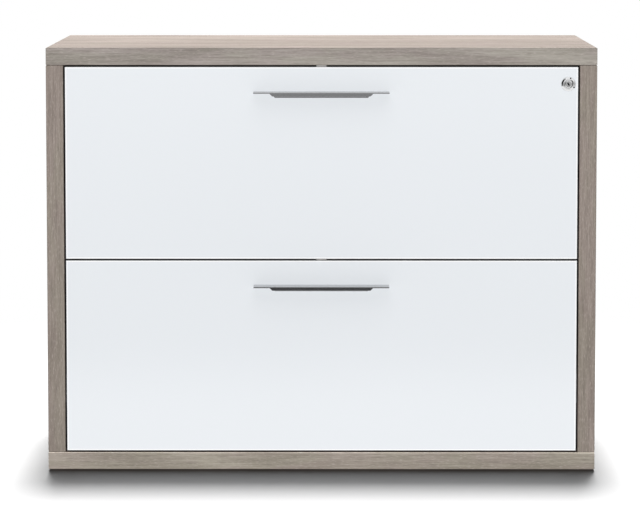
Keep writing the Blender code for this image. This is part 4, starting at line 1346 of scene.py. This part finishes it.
class PEDESTAL_OT_stage(bpy.types.Operator):
    """Sets a plain pale floor, soft studio light and the camera"""

    bl_idname = "pedestal.stage"
    bl_label = "Stage"

    floor_size = 80.0
    shadow_reach = (1.0, 1.8)      # from the object: real shadow inside, plain white outside
    floor_lamp_far = 40.0
    floor_lamp_lean = 0.008        # how far to the right the floor lamps stand, for each metre
    floor_lamps = (                # tilt, width, length and share of the power
        (math.radians(17.2), 5.6, 11.2, 0.63),
        (math.radians(14.2), 5.6, 19.8, 0.37),
    )
    cards = (                      # name, place, what it faces, width and height, knee, strengths
        ("front_card", (0.0, -0.85, 0.4), (0.0, 0.0), (1.1, 0.8), 0.16, (1.0, 0.02, 0.68)),
        ("left_card", (-0.90, -0.97, 1.06), LOCK_AXIS.xy, (0.85, 5.6), 0.5, (1.0, 0.0, 1.0)),
        ("right_card", (1.30, -0.80, 0.57), LOCK_AXIS.xy, (0.8, 1.6), 0.5, (1.0, 0.45, 1.0)),
    )
    sensor_width = 36.0
    view_end = 200.0

    def execute(self, context):
        stage = context.scene.pedestal_stage
        floor = self.floor(stage)
        self.sky(context.scene, stage)
        handles = [bpy.data.objects[f"{level}_lip_handle"] for level in LEVELS]
        only_floor = self.link_group("lights_floor", [floor], "INCLUDE")
        not_floor = self.link_group("lights_object", [floor], "EXCLUDE")
        no_handles = self.link_group("shades_floor", handles, "EXCLUDE")
        not_handles = self.link_group("lights_fronts", [floor, *handles], "EXCLUDE")
        base = Vector((0.0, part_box("bottom_panel")[0].y, 0.0))
        middle = Vector((0.0, base.y, (CAD_BOX[0].z + CAD_BOX[1].z) / 2))
        for tilt, width, length, share in self.floor_lamps:
            way = Vector((self.floor_lamp_lean, math.sin(tilt), math.cos(tilt)))
            place = base + self.floor_lamp_far * way
            power = stage.floor_power * share
            self.lamp("floor_lamp", place, base, (width, length), power, only_floor, no_handles)
        # Each softbox lights one group, and all pieces or another group throw shadows in its light
        for name, place, size, power, lit, shading in (
            ("rear_softbox", (0.0, 2.4, 3.0), (2.6, 1.8), stage.rear_power, not_floor, None),
            ("left_softbox", (-2.6, -3.5, 0.3), (2.2, 0.6), stage.side_power, not_floor, no_handles),
            ("right_softbox", (2.6, -3.5, 0.3), (2.2, 0.6), stage.side_power, not_floor, no_handles),
            ("front_softbox", (0.0, -1.9, 2.4), (1.6, 2.2), stage.front_power, not_handles, None),
        ):
            self.lamp(name, Vector(place), middle, size, power, lit, shading)
        for card in self.cards:
            self.card(*card)
        self.camera(context.scene, stage)
        return {"FINISHED"}

    def seen(self, wire, kinds):
        """1 for the rays that show the background as it is, 0 for those that only carry light."""
        first, *others = [wire.add("ShaderNodeLightPath", {}, {}, f"Is {kind} Ray") for kind in kinds]
        for other in others:
            first = first.math("MAXIMUM", first, other)
        return first

    def floor(self, stage):
        """A wide floor, seen lit and with its shadow near the object, and plain white beyond."""
        floor = start_primitive(bpy.ops.mesh.primitive_plane_add, size=self.floor_size)
        floor.name = "floor"
        material, place = start_finish("pale_floor")
        material.cycles.emission_sampling = "NONE"
        distance = place.add("ShaderNodeVectorMath", {"operation": "LENGTH"}, {0: place}, "Value")
        lit = place.add("ShaderNodeBsdfDiffuse", {}, {"Color": [stage.floor_grey] * 3})
        white = place.add("ShaderNodeEmission", {}, {"Strength": 1.0})
        mirrored = self.seen(place, ("Glossy", "Transmission"))
        strength = (1.0 - mirrored) * stage.floor_bounce + mirrored
        bounce = place.add("ShaderNodeEmission", {}, {"Strength": strength})
        beyond = span(distance, *self.shadow_reach)
        view = place.add("ShaderNodeMixShader", {}, {0: beyond, 1: lit, 2: white})
        in_view = self.seen(place, ("Camera",))
        surface = place.add("ShaderNodeMixShader", {}, {0: in_view, 1: bounce, 2: view})
        place.add("ShaderNodeOutputMaterial", {}, {"Surface": surface})
        floor.data.materials.append(material)
        return floor

    def sky(self, scene, stage):
        """Even light all round, and plain white where it is seen or mirrored."""
        world = bpy.data.worlds.new("studio")
        world.use_nodes = True
        world.node_tree.nodes.clear()
        wire = Wire(world.node_tree)
        seen = self.seen(wire, ("Camera", "Glossy", "Transmission"))
        values = {"Color": (1.0, 1.0, 1.0), "Strength": (1.0 - seen) * stage.ambient + seen}
        surface = wire.add("ShaderNodeBackground", {}, values)
        wire.add("ShaderNodeOutputWorld", {}, {"Surface": surface})
        scene.world = world

    def link_group(self, name, members, state):
        """A light group with only some objects, or with all but those."""
        group = bpy.data.collections.new(name)
        for index, member in enumerate(members):
            group.objects.link(member)
            group.collection_objects[index].light_linking.link_state = state
        return group

    def aim(self, place, target):
        """The turn that faces a lamp or a card to a point."""
        return (target - place).to_track_quat("-Z", "Y").to_euler()

    def lamp(self, name, place, target, size, power, lit, shading):
        """A rectangular soft lamp aimed at a point, for one light group, with shadows of all or another."""
        bpy.ops.object.light_add(type="AREA", location=place, rotation=self.aim(place, target))
        lamp = bpy.context.object
        lamp.name = name
        lamp.data.shape = "RECTANGLE"
        lamp.data.size, lamp.data.size_y = size
        lamp.data.energy = power
        lamp.visible_glossy = False
        lamp.light_linking.receiver_collection = lit
        lamp.light_linking.blocker_collection = shading

    def card(self, name, place, faced, size, knee, glow):
        """A grey card that only shiny surfaces mirror, with a strength at its foot, knee and head."""
        place = Vector(place)
        turn = self.aim(place, Vector((*faced, place.z)))
        bpy.ops.object.select_all(action="DESELECT")
        bpy.ops.mesh.primitive_plane_add(size=1.0, location=place, rotation=turn)
        card = bpy.context.object
        card.name = name
        card.scale = (*size, 1.0)
        for kind in ("camera", "diffuse", "transmission", "volume_scatter", "shadow"):
            setattr(card, f"visible_{kind}", False)
        material, local = start_finish(name)
        material.cycles.emission_sampling = "NONE"
        height = local.add("ShaderNodeSeparateXYZ", {}, {0: local}, "Y") + 0.5
        foot, middle, head = glow
        strength = span(height, 0.0, knee, foot, middle) + span(height, knee, 1.0, 0.0, head - middle)
        surface = local.add("ShaderNodeEmission", {}, {"Strength": strength})
        local.add("ShaderNodeOutputMaterial", {}, {"Surface": surface})
        card.data.materials.append(material)

    def camera(self, scene, stage):
        """A long lens straight in front, a little above the case."""
        turn = (math.pi / 2 - stage.camera_pitch, 0.0, stage.camera_yaw)
        bpy.ops.object.camera_add(location=stage.camera_place, rotation=turn)
        camera = bpy.context.object
        camera.data.sensor_fit = "HORIZONTAL"
        camera.data.sensor_width = self.sensor_width
        camera.data.lens = stage.camera_lens
        camera.data.clip_end = self.view_end
        scene.camera = camera
        scene.view_settings.view_transform = "Standard"


OPERATORS = (
    PEDESTAL_OT_case_boards,
    PEDESTAL_OT_floor_glides,
    PEDESTAL_OT_drawer_fronts,
    PEDESTAL_OT_gap_pads,
    PEDESTAL_OT_handles,
    PEDESTAL_OT_handle_screws,
    PEDESTAL_OT_lock,
    PEDESTAL_OT_drawer_boxes,
    PEDESTAL_OT_file_rails,
    PEDESTAL_OT_slides,
    PEDESTAL_OT_ball_cages,
    PEDESTAL_OT_locking_bar,
    PEDESTAL_OT_stage,
)

SETTINGS = {
    "pedestal_case": CaseSettings,
    "pedestal_front": FrontSettings,
    "pedestal_handle": HandleSettings,
    "pedestal_lock": LockSettings,
    "pedestal_box": BoxSettings,
    "pedestal_slide": SlideSettings,
    "pedestal_bar": BarSettings,
    "pedestal_stage": StageSettings,
}


class PEDESTAL_PT_pieces(bpy.types.Panel):
    """Lists the pieces of the pedestal and the sizes and colours that they are made with"""

    bl_idname = "PEDESTAL_PT_pieces"
    bl_label = "Lateral filing pedestal"
    bl_space_type = "VIEW_3D"
    bl_region_type = "UI"
    bl_category = "Pedestal"

    def draw(self, context):
        for operator in OPERATORS:
            self.layout.operator(operator.bl_idname)
        for name, group in SETTINGS.items():
            box = self.layout.box()
            box.label(text=group.__doc__)
            for setting in group.__annotations__:
                box.prop(getattr(context.scene, name), setting)


def register():
    """Adds the settings to the scene, and the operators and the panel."""
    for name, group in SETTINGS.items():
        bpy.utils.register_class(group)
        setattr(bpy.types.Scene, name, PointerProperty(type=group))
    for operator in OPERATORS:
        bpy.utils.register_class(operator)
    bpy.utils.register_class(PEDESTAL_PT_pieces)


def unregister():
    """Takes away what register adds."""
    bpy.utils.unregister_class(PEDESTAL_PT_pieces)
    for operator in reversed(OPERATORS):
        bpy.utils.unregister_class(operator)
    for name, group in SETTINGS.items():
        delattr(bpy.types.Scene, name)
        bpy.utils.unregister_class(group)


def main():
    """Makes the pieces and the stage in order."""
    register()
    bpy.ops.pedestal.case_boards()
    bpy.ops.pedestal.floor_glides()
    bpy.ops.pedestal.drawer_fronts()
    bpy.ops.pedestal.gap_pads()
    bpy.ops.pedestal.handles()
    bpy.ops.pedestal.handle_screws()
    bpy.ops.pedestal.lock()
    bpy.ops.pedestal.drawer_boxes()
    bpy.ops.pedestal.file_rails()
    bpy.ops.pedestal.slides()
    bpy.ops.pedestal.ball_cages()
    bpy.ops.pedestal.locking_bar()
    bpy.ops.pedestal.stage()


if __name__ == "__main__":
    main()
